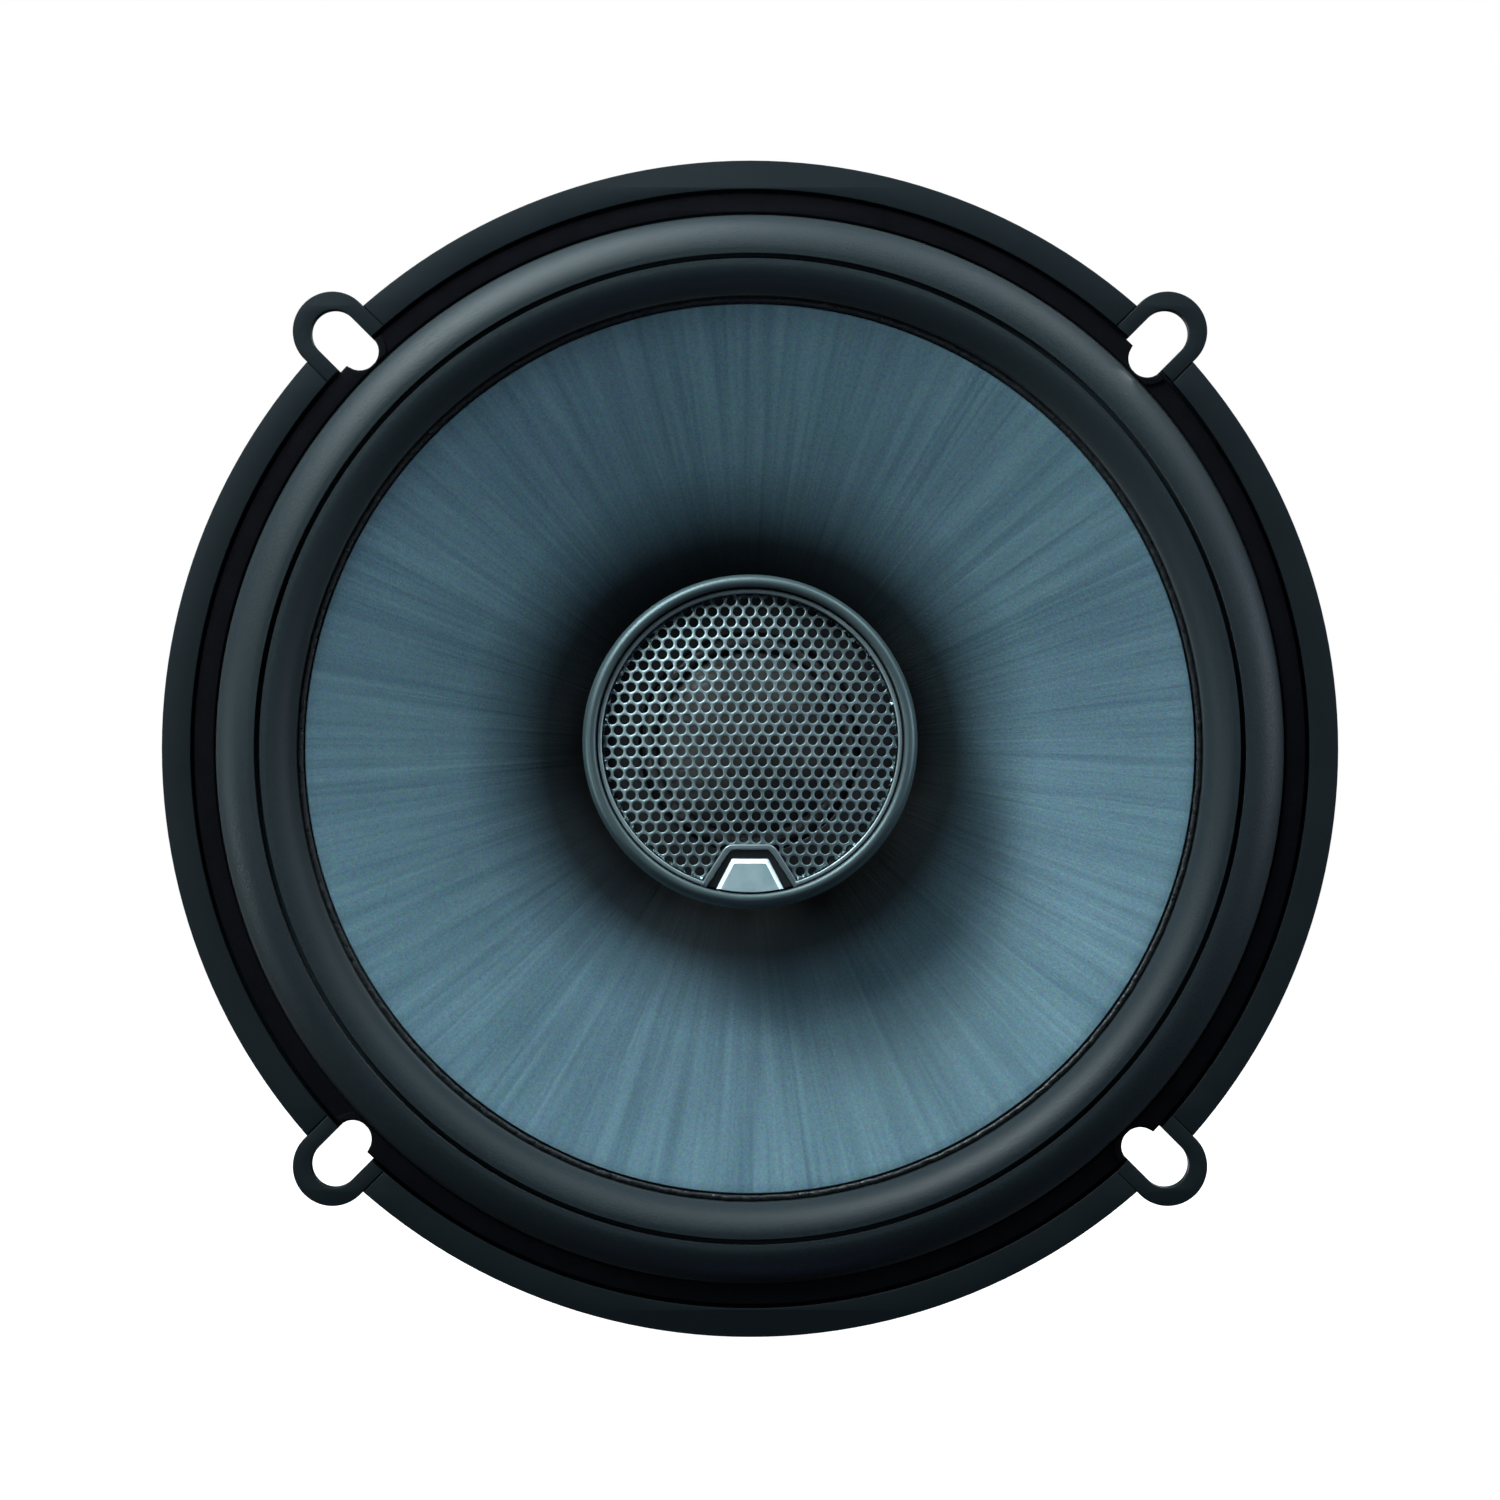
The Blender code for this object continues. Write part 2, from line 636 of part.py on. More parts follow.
def make_tweeter(tilt, looks):
    make_housing(tilt, looks["plastic"])
    low, top = BEZEL_G
    bezel = [(BEZEL_IN_R, low), (BEZEL_IN_R, top - 0.7), (BEZEL_IN_R + 0.35, top - 0.15),
             (BEZEL_IN_R + 0.85, top), (BEZEL_IN_R + 1.3, top - 0.2), (HOUSING_R - 0.15, top - 0.9),
             (HOUSING_R, top - 1.6), (HOUSING_R, low)]
    turned("tweeter_bezel", bezel, 36, tilt, looks["bezel"])
    make_grille(tilt, looks)
    make_badge(tilt, looks)
    turned("tweeter_face_ring", [(15.5, 8.85), (15.5, 9.7), (21.1, 9.7), (21.1, 8.85)], 24, tilt,
           looks["plastic"])
    turned("tweeter_cup", [(0, 5.4), (13.4, 5.4), (13.4, 8.5), (14.8, 8.5), (14.8, 4.65),
                           (0, 4.65)], 24, tilt, looks["zinc"], open_ends=True)
    turned("tweeter_magnet", [(0, 7.4), (11.0, 7.4), (11.0, 5.5), (0, 5.5)], 24, tilt,
               looks["nickel"], open_ends=True)
    turned("tweeter_pole_plate", [(0, 8.5), (11.7, 8.5), (11.7, 7.5), (0, 7.5)], 24, tilt,
               looks["zinc"], open_ends=True)
    roll = [(13.05, 9.3), (13.4, 10.0), (14.6, 10.0), (15.0, 9.3)]
    turned("tweeter_roll", thickened(roll, 0.3), 24, tilt, looks["silk"])


def make_tweeter_dome(moving, looks):
    """The moving dome and its coil."""
    height = 3.1
    sphere = (DOME_R ** 2 + height ** 2) / (2 * height)
    line = []
    for i in range(5):
        r = DOME_R * i / 4
        line.append((r, 9.2 + height - sphere + math.sqrt(sphere ** 2 - r ** 2)))
    under = [(r, h - 0.35) for r, h in line[::-1]]
    turned("tweeter_dome", line + under, 24, moving, looks["silk"], open_ends=True)
    turned("tweeter_coil", [(12.25, 6.4), (12.25, 8.7), (12.75, 8.7), (12.75, 6.4)], 24, moving,
           looks["copper"])


# Terminals, capacitor and leads

def make_terminal_frame():
    """Empty on the -X spoke: its Z looks out of the spoke, its X runs in towards the motor."""
    share = BOARD_AT
    r = SPOKE_IN[0] + share * (SPOKE_OUT[0] - SPOKE_IN[0])
    f = SPOKE_IN[1] + share * (SPOKE_OUT[1] - SPOKE_IN[1])
    along = Vector((SPOKE_OUT[0] - SPOKE_IN[0], SPOKE_OUT[1] - SPOKE_IN[1])).normalized()
    inward = Vector((along.x, along.y, 0))
    outward = Vector((-along.y, along.x, 0))
    side = outward.cross(inward)
    matrix = Matrix((inward, side, outward)).transposed().to_4x4()
    matrix.translation = Vector((-r, -f, 0)) * MM
    made = bpy.data.objects.new("terminal_frame", None)
    parts.objects.link(made)
    made.matrix_world = matrix
    return made


def rounded_rectangle(half_x, half_y, corner):
    out = []
    for sx, sy, start in ((1, 1, 0), (-1, 1, 90), (-1, -1, 180), (1, -1, 270)):
        out += arc((sx * (half_x - corner), sy * (half_y - corner)), corner, start, start + 90, 3)
    return out


def make_terminals(frame, basket, looks):
    length, width, thick = BOARD
    low = 0.3
    board = plate("terminal_board", [rounded_rectangle(length / 2, width / 2, 2.0)], low, thick,
                  frame, looks["board"])
    hole = as_cutter(rod("board_hole", 1.35, 12.0, (-4.5, 0, 0), (0, 0, 0), 12, cutters), frame)
    combine(board, hole)
    combine(basket, hole)
    top = low + thick
    rivet = empty("board_rivet_place", (-4.5, 0, 0), parent=frame)
    profile = [(0, top + 1.2), (1.2, top + 1.0), (2.2, top + 0.4), (2.3, top + 0.1),
               (1.15, top + 0.1), (1.15, -1.9), (0, -1.9)]
    turned("board_rivet", profile, 12, rivet, looks["zinc"], open_ends=True)
    for name, side, wide in (("terminal_positive", 1, 4.8), ("terminal_negative", -1, 2.8)):
        seat = empty(name + "_place", (-9.6, side * 8.2, top + 0.1), (FACING, 0, 0), frame)
        shape = [(0, 0), (6.0, 0), (6.0, 0.8), (0.8, 0.8), (0.8, BLADE_OUT - 0.6),
                 (0.55, BLADE_OUT), (0.25, BLADE_OUT), (0, BLADE_OUT - 0.6)]
        plate(name, [shape], -wide / 2, wide, seat, looks["tin"])
    radius, span = CAN
    lift = top + 0.15 + radius
    can = turned("crossover_capacitor",
                 [(0, span / 2), (radius - 0.6, span / 2), (radius, span / 2 - 0.6),
                  (radius, -span / 2 + 0.6), (radius - 0.6, -span / 2), (0, -span / 2)],
                 24, frame, looks["sleeve"], open_ends=True)
    can.matrix_local = Matrix.Translation((4.5 * MM, 0, lift * MM)) @ Matrix.Rotation(FACING, 4, "X")
    make_strap(frame, top, lift, looks["zinc"])


def make_strap(frame, top, lift, look):
    """A bent strip over the capacitor with a foot on the board at each side."""
    radius = CAN[0]
    near = radius + 0.2
    far = near + 0.5
    foot = top - lift + 0.1
    shape = [(far + 1.4, foot), (far + 1.4, foot + 0.5), (far, foot + 0.5)]
    shape += arc((0, 0), far, 0, 180, 14)
    shape += [(-far, foot + 0.5), (-far - 1.4, foot + 0.5), (-far - 1.4, foot), (-near, foot)]
    shape += arc((0, 0), near, 180, 0, 14)
    shape += [(near, foot)]
    strap = outline_solid("capacitor_strap", [shape], 4.0, parts)
    strap.matrix_local = Matrix.Translation((4.5 * MM, 0, lift * MM)) @ Matrix.Rotation(FACING, 4, "X")
    finish(strap, frame, look)


def tinsel_path(side):
    """From the board's inner face out of the window and round to the back of the cone."""
    path = [(-55.25, 18.75, 9.6 * side)]
    points = ((-53.85, 16.55, 9.6 * side), (-45.0, 24.0, 8.6 * side), (-37.55, 10.35, 6.2 * side))
    path += bezier(*points, 7)
    return path + [(-36.5, 8.2, 6.05 * side)]


def tweeter_wire_path(side):
    """From the board's outer face to the gap under the boot's front rim."""
    path = [(-51.98, 23.28, 8.8 * side)]
    points = ((-53.05, 25.0, 8.8 * side), (-52.0, 30.0, 7.0 * side), (-44.6, 34.4, 4.4 * side))
    path += bezier(*points, 5)
    return path + [(-41.2, 36.0, 2.7 * side), (-40.0, 36.9, 2.2 * side), (-39.7, 38.2, 2.0 * side)]


def make_leads(looks):
    for word, side in (("positive", -1), ("negative", 1)):
        tube(f"tinsel_lead_{word}", tinsel_path(side), 0.7, None, looks["braid"])
    tube("tweeter_lead_positive", tweeter_wire_path(-1), 0.75, None, looks["red"])
    tube("tweeter_lead_negative", tweeter_wire_path(1), 0.75, None, looks["black_wire"])


def make_looks():
    return {
        "ring": material("ring paint", (0.035, 0.055, 0.07), 0.42),
        "steel": material("basket paint", (0.012, 0.013, 0.015), 0.45),
        "rubber": material("moulded rubber", (0.02, 0.022, 0.024), 0.6),
        "surround": material("surround rubber", (0.035, 0.04, 0.044), 0.5),
        "cloth": material("woven cone", (0.09, 0.14, 0.17), 0.4, 0.3),
        "glue": material("glue bead", (0.01, 0.01, 0.012), 0.15),
        "paper": material("former paper", (0.35, 0.25, 0.15), 0.7),
        "copper": material("copper wire", (0.7, 0.3, 0.12), 0.35, 1.0),
        "spider": material("spider cloth", (0.25, 0.16, 0.06), 0.8),
        "zinc": material("zinc plate", (0.6, 0.61, 0.62), 0.35, 1.0),
        "ferrite": material("ferrite", (0.05, 0.05, 0.055), 0.6),
        "felt": material("felt", (0.01, 0.01, 0.01), 0.95),
        "plastic": material("black plastic", (0.015, 0.017, 0.02), 0.4),
        "bezel": material("bezel lacquer", (0.05, 0.065, 0.075), 0.25),
        "grille": material("grille sheet", (0.3, 0.33, 0.35), 0.35, 0.9),
        "frame": material("badge frame", (0.1, 0.13, 0.15), 0.3, 0.5),
        "badge": material("badge plate", (0.45, 0.53, 0.56), 0.3, 0.8),
        "silk": material("silk dome", (0.03, 0.035, 0.04), 0.5),
        "nickel": material("nickel plate", (0.65, 0.65, 0.63), 0.25, 1.0),
        "board": material("fibre board", (0.03, 0.025, 0.02), 0.6),
        "tin": material("tinned brass", (0.7, 0.7, 0.68), 0.3, 1.0),
        "sleeve": material("capacitor sleeve", (0.02, 0.03, 0.08), 0.3),
        "braid": material("tinsel braid", (0.5, 0.45, 0.35), 0.5, 0.7),
        "red": material("red wire", (0.4, 0.02, 0.02), 0.4),
        "black_wire": material("black wire", (0.015, 0.015, 0.015), 0.4),
    }


def build():
    clear_scene()
    make_collections()
    looks = make_looks()
    front = empty("speaker_axis", (0, 0, 0), (FACING, 0, 0))
    make_mounting_ring(front, looks["ring"])
    notches = make_notch_cutters(front)
    basket = make_basket(front, looks["steel"], notches)
    make_gasket(front, looks["rubber"], notches)
    make_surround(front, looks["surround"], notches)
    make_spider(front, looks["spider"])
    cone_frame = empty("cone_travel", (0, 0, 0), (FACING, 0, 0))
    make_cone_parts(cone_frame, looks)
    make_motor(front, looks)
    make_rivets(front, basket, looks["zinc"])
    make_post(front, looks)
    swivel = empty("tweeter_swivel", (0, 0, 0), (FACING, 0, 0))
    make_swivel(swivel, looks)
    tilt = empty("tweeter_tilt", (0, 0, PIVOT_F), (-math.radians(TILT), 0, 0), swivel)
    make_tweeter(tilt, looks)
    dome_travel = empty("dome_travel", (0, 0, 0), (0, 0, 0), tilt)
    make_tweeter_dome(dome_travel, looks)
    terminal_frame = make_terminal_frame()
    make_terminals(terminal_frame, basket, looks)
    make_leads(looks)
    bpy.context.view_layer.update()


build()
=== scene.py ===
import json
import math

import bmesh
import bpy
import numpy as np
from mathutils import Matrix, Vector


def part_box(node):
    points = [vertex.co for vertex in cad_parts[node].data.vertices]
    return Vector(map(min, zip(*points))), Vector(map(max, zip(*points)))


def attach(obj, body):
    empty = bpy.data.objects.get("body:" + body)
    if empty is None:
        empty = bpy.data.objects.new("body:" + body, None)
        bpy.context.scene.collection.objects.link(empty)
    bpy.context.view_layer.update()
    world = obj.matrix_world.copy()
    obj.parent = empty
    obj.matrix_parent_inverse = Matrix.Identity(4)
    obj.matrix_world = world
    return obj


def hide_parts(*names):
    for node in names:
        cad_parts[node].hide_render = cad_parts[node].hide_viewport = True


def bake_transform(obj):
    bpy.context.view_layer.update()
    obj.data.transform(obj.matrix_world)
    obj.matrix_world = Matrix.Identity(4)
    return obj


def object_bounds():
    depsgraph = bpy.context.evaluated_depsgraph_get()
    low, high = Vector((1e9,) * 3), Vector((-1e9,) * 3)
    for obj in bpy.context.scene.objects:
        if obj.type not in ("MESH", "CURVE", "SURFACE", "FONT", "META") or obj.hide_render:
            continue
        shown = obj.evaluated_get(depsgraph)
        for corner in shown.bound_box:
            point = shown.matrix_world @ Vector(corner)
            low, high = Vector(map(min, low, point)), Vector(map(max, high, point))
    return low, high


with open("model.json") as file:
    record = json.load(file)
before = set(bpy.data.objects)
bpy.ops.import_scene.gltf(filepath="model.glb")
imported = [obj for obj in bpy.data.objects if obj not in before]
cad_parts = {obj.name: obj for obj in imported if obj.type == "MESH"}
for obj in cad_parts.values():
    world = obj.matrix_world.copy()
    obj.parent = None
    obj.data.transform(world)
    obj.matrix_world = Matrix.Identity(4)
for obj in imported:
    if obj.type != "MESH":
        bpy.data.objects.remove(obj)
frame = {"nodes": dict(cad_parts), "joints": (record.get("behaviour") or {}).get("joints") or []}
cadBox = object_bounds()
scene = bpy.context.scene
mm = 0.001
jointOf = {joint["name"]: joint for joint in frame["joints"]}
print("frame loaded:", len(frame["nodes"]), "nodes")

# Places: a piece is drawn in millimetres with its axis along +Z, then stood up in the frame.
# The speaker's own "forward" is world -Y, so a height there is minus world Y.
speakerPlace = Matrix.Rotation(math.radians(90), 4, "X")
tiltPivot = Vector(jointOf["tweeter_tilt"]["pos_m"])
domeAxis = Vector(jointOf["dome_travel"]["axis"])
tweeterTilt = math.atan2(domeAxis.z, -domeAxis.y)
pivotPlace = Matrix.Translation(tiltPivot) @ speakerPlace
tweeterPlace = Matrix.Translation(tiltPivot) @ Matrix.Rotation(math.radians(90) - tweeterTilt, 4, "X")


def spanOf(node):
    # outer radius, back and front of a round CAD node, in millimetres
    low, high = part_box(node)
    return high.x / mm, -high.y / mm, -low.y / mm


# helpers that draw outlines and solids
def arcPoints(centre, radius, start, end, count):
    turns = np.radians(np.linspace(start, end, count + 1))
    return [(centre[0] + radius * math.cos(t), centre[1] + radius * math.sin(t)) for t in turns]


def circlePoints(centre, radius, count):
    return arcPoints(centre, radius, 0, 360, count)[:-1]


def around(radius, bearing, side=0.0):
    # a point at a radius on a bearing, shifted sideways, counter-clockwise positive
    t = math.radians(bearing)
    return (radius * math.cos(t) - side * math.sin(t), radius * math.sin(t) + side * math.cos(t))


def quadCurve(a, b, c, count):
    out = []
    for i in range(count + 1):
        t = i / count
        out.append(tuple((1 - t) ** 2 * p + 2 * t * (1 - t) * q + t * t * s for p, q, s in zip(a, b, c)))
    return out


def smoothPath(points, count):
    # a soft curve through the points
    out = []
    for i in range(len(points) - 1):
        p = [Vector(points[max(0, min(len(points) - 1, i + k))]) for k in (-1, 0, 1, 2)]
        for k in range(count):
            t = k / count
            out.append(0.5 * (2 * p[1] + (p[2] - p[0]) * t + (2 * p[0] - 5 * p[1] + 4 * p[2] - p[3]) * t * t
                              + (3 * p[1] - p[0] - 3 * p[2] + p[3]) * t ** 3))
    return out + [Vector(points[-1])]


def rounded(outline, radius, count=4, turned=True):
    # swaps every real corner of a closed outline for a short curve; points on a turned outline's axis stay
    points = [Vector(p) for p in outline]
    out = []
    for i, corner in enumerate(points):
        back = points[i - 1] - corner
        ahead = points[(i + 1) % len(points)] - corner
        onAxis = turned and corner.x < 1e-6
        if onAxis or back.length < 1e-6 or ahead.length < 1e-6 or back.angle(ahead) > 2.8:
            out.append(tuple(corner))
            continue
        reach = min(radius, back.length * 0.45, ahead.length * 0.45)
        a, b = corner + back.normalized() * reach, corner + ahead.normalized() * reach
        for k in range(count + 1):
            t = k / count
            out.append(tuple(a.lerp(corner, t).lerp(corner.lerp(b, t), t)))
    return out


def thickened(line, thickness):
    # closed outline of a sheet that follows an open line, with half-round ends
    left, right = [], []
    last = len(line) - 1
    for i, point in enumerate(line):
        before = (Vector(line[max(i, 1)]) - Vector(line[max(i, 1) - 1])).normalized()
        after = (Vector(line[min(i, last - 1) + 1]) - Vector(line[min(i, last - 1)])).normalized()
        along = (before + after).normalized()
        across = Vector((-along.y, along.x)) * thickness / 2 / max(0.7, along.dot(before))
        left.append(tuple(Vector(point) + across))
        right.append(tuple(Vector(point) - across))
    return left + right[::-1]


def turnedShape(outline, steps):
    turns = np.arange(steps) * 2 * math.pi / steps
    radii, heights = np.array(outline).T
    verts = np.stack([np.outer(radii, np.cos(turns)), np.outer(radii, np.sin(turns)),
                      np.repeat(heights[:, None], steps, 1)], -1).reshape(-1, 3)
    count = len(outline)
    rows = count - 1 if radii[0] < 1e-6 and radii[-1] < 1e-6 else count
    faces = []
    for i in range(rows):
        a, b = i * steps, (i + 1) % count * steps
        faces += [(a + k, a + (k + 1) % steps, b + (k + 1) % steps, b + k) for k in range(steps)]
    return verts.tolist(), faces


def plateShape(outlines, low, top, bevel=0.0, steps=2):
    # a flat plate with softened edges; the outlines after the first may be holes or islands
    curve = bpy.data.curves.new("outline", "CURVE")
    curve.dimensions, curve.fill_mode = "2D", "BOTH"
    curve.extrude = (top - low) / 2 - bevel
    curve.bevel_depth, curve.offset, curve.bevel_resolution = bevel, -bevel, steps
    for outline in outlines:
        spline = curve.splines.new("POLY")
        spline.points.add(len(outline) - 1)
        for point, (x, y) in zip(spline.points, outline):
            point.co = (x, y, 0.0, 1.0)
        spline.use_cyclic_u = True
    item = bpy.data.objects.new("outline", curve)
    scene.collection.objects.link(item)
    bpy.context.view_layer.update()
    mesh = bpy.data.meshes.new_from_object(item.evaluated_get(bpy.context.evaluated_depsgraph_get()))
    verts = [(v.co.x, v.co.y, v.co.z + (low + top) / 2) for v in mesh.vertices]
    faces = [tuple(p.vertices) for p in mesh.polygons]
    bpy.data.objects.remove(item)
    bpy.data.curves.remove(curve)
    bpy.data.meshes.remove(mesh)
    return verts, faces


def tubeShape(path, radius, sides=12, spin=0.0, off=0.0):
    # a round wire along a path; with spin and off it winds round the path as one strand
    verts, faces = [], []
    side = None
    last = len(path) - 1
    for i, point in enumerate(path):
        along = (Vector(path[min(i + 1, last)]) - Vector(path[max(i - 1, 0)])).normalized()
        if side is None:
            side = along.orthogonal().normalized()
        side = (side - along * side.dot(along)).normalized()
        up = along.cross(side)
        turn = spin * i
        centre = Vector(point) + (side * math.cos(turn) + up * math.sin(turn)) * off
        for k in range(sides):
            a = 2 * math.pi * k / sides
            verts.append(tuple(centre + (side * math.cos(a) + up * math.sin(a)) * radius))
    for i in range(last):
        for k in range(sides):
            a, b = i * sides + k, i * sides + (k + 1) % sides
            faces.append((a, b, b + sides, a + sides))
    faces += [tuple(range(sides))[::-1], tuple(last * sides + k for k in range(sides))]
    return verts, faces


def moved(shape, place):
    return [tuple(place @ Vector(v)) for v in shape[0]], shape[1]


def merged(*shapes):
    verts, faces = [], []
    for shapeVerts, shapeFaces in shapes:
        start = len(verts)
        verts += shapeVerts
        faces += [tuple(start + v for v in face) for face in shapeFaces]
    return verts, faces


def makePiece(name, shape, look, place=speakerPlace, sharp=38, keepSides=False):
    mesh = bpy.data.meshes.new(name)
    mesh.from_pydata(shape[0], [], shape[1])
    work = bmesh.new()
    work.from_mesh(mesh)
    bmesh.ops.remove_doubles(work, verts=work.verts, dist=0.0005)
    bmesh.ops.dissolve_degenerate(work, edges=work.edges, dist=0.0005)
    if not keepSides:
        bmesh.ops.recalc_face_normals(work, faces=work.faces)
    work.to_mesh(mesh)
    work.free()
    mesh.transform(place @ Matrix.Scale(mm, 4))
    if look:
        mesh.materials.append(look)
    mesh.shade_smooth()
    mesh.set_sharp_from_angle(angle=math.radians(sharp))
    item = bpy.data.objects.new(name, mesh)
    scene.collection.objects.link(item)
    return item


def settled(item, sharp=38):
    # bakes the modifiers into the mesh
    bpy.context.view_layer.update()
    mesh = bpy.data.meshes.new_from_object(item.evaluated_get(bpy.context.evaluated_depsgraph_get()))
    item.modifiers.clear()
    item.data = mesh
    mesh.name = item.name
    mesh.shade_smooth()
    mesh.set_sharp_from_angle(angle=math.radians(sharp))
    return item


def cutWith(item, shape, place=speakerPlace, sharp=38):
    tool = makePiece("cutter", shape, None, place)
    step = item.modifiers.new("cut", "BOOLEAN")
    step.operation, step.solver, step.object = "DIFFERENCE", "EXACT", tool
    settled(item, sharp)
    bpy.data.objects.remove(tool)
    return item


def fit(item, body, *nodes):
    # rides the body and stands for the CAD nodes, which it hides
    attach(item, body)
    if nodes:
        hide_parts(*nodes)
    return item


def bendWith(item, node):
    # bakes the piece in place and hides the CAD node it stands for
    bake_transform(item)
    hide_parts(node)
    return item


def pointsOf(item):
    co = np.zeros(len(item.data.vertices) * 3)
    item.data.vertices.foreach_get("co", co)
    return co.reshape(-1, 3)


def bendByRadius(item, node):
    # bakes the piece in place and hides its CAD node, as bendWith does
    co = pointsOf(item)
    return bendWith(item, node)


# helpers that wire up a finish
def addNode(tree, kind, feeds=None, **settings):
    node = tree.nodes.new(kind)
    for key, value in settings.items():
        setattr(node, key, value)
    for key, value in (feeds or {}).items():
        if isinstance(value, bpy.types.NodeSocket):
            tree.links.new(value, node.inputs[key])
        else:
            node.inputs[key].default_value = value
    return node


def newLook(name, metallic=0.0, roughness=0.5, **sockets):
    look = bpy.data.materials.new(name)
    look.use_nodes = True
    shader = look.node_tree.nodes["Principled BSDF"]
    shader.inputs["Metallic"].default_value = metallic
    shader.inputs["Roughness"].default_value = roughness
    for key, value in sockets.items():
        shader.inputs[key.replace("_", " ")].default_value = value
    return look, look.node_tree


def placeNode(tree):
    return addNode(tree, "ShaderNodeTexCoord").outputs["Object"]


def noiseNode(tree, where, size, detail=3.0, rough=0.55, out="Fac"):
    return addNode(tree, "ShaderNodeTexNoise", {"Vector": where, "Scale": 1 / (size * mm), "Detail": detail,
                                                "Roughness": rough}).outputs[out]


def rangeNode(tree, value, low, high, toLow, toHigh):
    return addNode(tree, "ShaderNodeMapRange", {"Value": value, "From Min": low, "From Max": high,
                                                "To Min": toLow, "To Max": toHigh}).outputs["Result"]


def rampNode(tree, value, stops):
    node = addNode(tree, "ShaderNodeValToRGB", {"Fac": value})
    marks = node.color_ramp.elements
    while len(marks) < len(stops):
        marks.new(0.5)
    for mark, (at, colour) in zip(marks, stops):
        mark.position, mark.color = at, (*colour, 1.0)
    return node.outputs["Color"]


def mixNode(tree, share, a, b, blend="MIX"):
    node = addNode(tree, "ShaderNodeMix", data_type="RGBA", blend_type=blend)
    for index, value in ((0, share), (6, a), (7, b)):
        if isinstance(value, bpy.types.NodeSocket):
            tree.links.new(value, node.inputs[index])
        elif index:
            node.inputs[index].default_value = (*value, 1.0)
        else:
            node.inputs[0].default_value = value
    return node.outputs[2]


def mathNode(tree, operation, a, b=0.0):
    node = addNode(tree, "ShaderNodeMath", operation=operation)
    for index, value in ((0, a), (1, b)):
        if isinstance(value, bpy.types.NodeSocket):
            tree.links.new(value, node.inputs[index])
        else:
            node.inputs[index].default_value = value
    return node.outputs[0]


def vectorNode(tree, operation, a, b=(0.0, 0.0, 0.0)):
    node = addNode(tree, "ShaderNodeVectorMath", operation=operation)
    for index, value in ((0, a), (1, b)):
        if isinstance(value, bpy.types.NodeSocket):
            tree.links.new(value, node.inputs[index])
        else:
            node.inputs[index].default_value = value
    return node.outputs["Value" if operation in ("LENGTH", "DOT_PRODUCT") else "Vector"]


def bumpNode(tree, height, depth, before=None, strength=1.0):
    feeds = {"Height": height, "Distance": depth * mm, "Strength": strength}
    if before:
        feeds["Normal"] = before
    return addNode(tree, "ShaderNodeBump", feeds).outputs["Normal"]


def joinLook(look, colour, rough, normal):
    shader = look.node_tree.nodes["Principled BSDF"]
    for key, value in (("Base Color", colour), ("Roughness", rough), ("Normal", normal)):
        look.node_tree.links.new(value, shader.inputs[key])
    return look


def addedUp(tree, first, second, share=0.5):
    # the two heights added up, the first with the given share
    parts = (mathNode(tree, "MULTIPLY", first, share), mathNode(tree, "MULTIPLY", second, 1 - share))
    return mathNode(tree, "ADD", *parts)


def wearShare(tree, amount):
    # how far an edge sticks out, broken up so that the wear is patchy
    edge = addNode(tree, "ShaderNodeNewGeometry").outputs["Pointiness"]
    share = rangeNode(tree, edge, 0.52, 0.62, 0.0, amount)
    patches = rangeNode(tree, noiseNode(tree, placeNode(tree), 2.5, 4.0), 0.4, 0.6, 0.2, 1.0)
    return mathNode(tree, "MULTIPLY", share, patches)


def plainLook(name, spec):
    # mottled colour, patchy roughness, a fine grain and worn edges
    look, tree = newLook(name, spec.get("metallic", 0.0), **spec.get("sockets", {}))
    where = placeNode(tree)
    mottle = noiseNode(tree, where, spec["mottleSize"], 4.0)
    colour = rampNode(tree, mottle, [(0.3, spec["dark"]), (0.7, spec["light"])])
    if "speck" in spec:
        specks = noiseNode(tree, where, spec["speckSize"], 1.0)
        colour = mixNode(tree, rangeNode(tree, specks, 0.6, 0.72, 0.0, spec["speckShare"]), colour,
                         spec["speck"])
    if spec.get("wear"):
        colour = mixNode(tree, wearShare(tree, spec["wear"]), colour, spec["wornTo"])
    rough = rangeNode(tree, noiseNode(tree, where, spec["mottleSize"] * 0.6, 5.0), 0.3, 0.7, *spec["rough"])
    grain = noiseNode(tree, where, spec["grainSize"], 2.0)
    return joinLook(look, colour, rough, bumpNode(tree, grain, spec["grainDepth"]))


def spunLook(name, spec):
    # turned or plated metal: fine rings round the speaker's axis over a mottled colour
    look, tree = newLook(name, spec.get("metallic", 1.0), **spec.get("sockets", {}))
    where = placeNode(tree)
    flat = vectorNode(tree, "MULTIPLY", where, (1.0, 0.0, 1.0))
    radius = vectorNode(tree, "LENGTH", flat)
    pace = mathNode(tree, "MULTIPLY", radius, 1 / (spec["ringSize"] * mm))
    ring = addNode(tree, "ShaderNodeTexNoise", {"W": pace, "Scale": 1.0, "Detail": 4.0},
                   noise_dimensions="1D").outputs["Fac"]
    mottle = noiseNode(tree, where, spec["mottleSize"], 4.0)
    colour = rampNode(tree, mottle, [(0.3, spec["dark"]), (0.7, spec["light"])])
    rough = rangeNode(tree, addedUp(tree, ring, mottle, 0.6), 0.3, 0.7, *spec["rough"])
    return joinLook(look, colour, rough, bumpNode(tree, ring, spec["grainDepth"]))


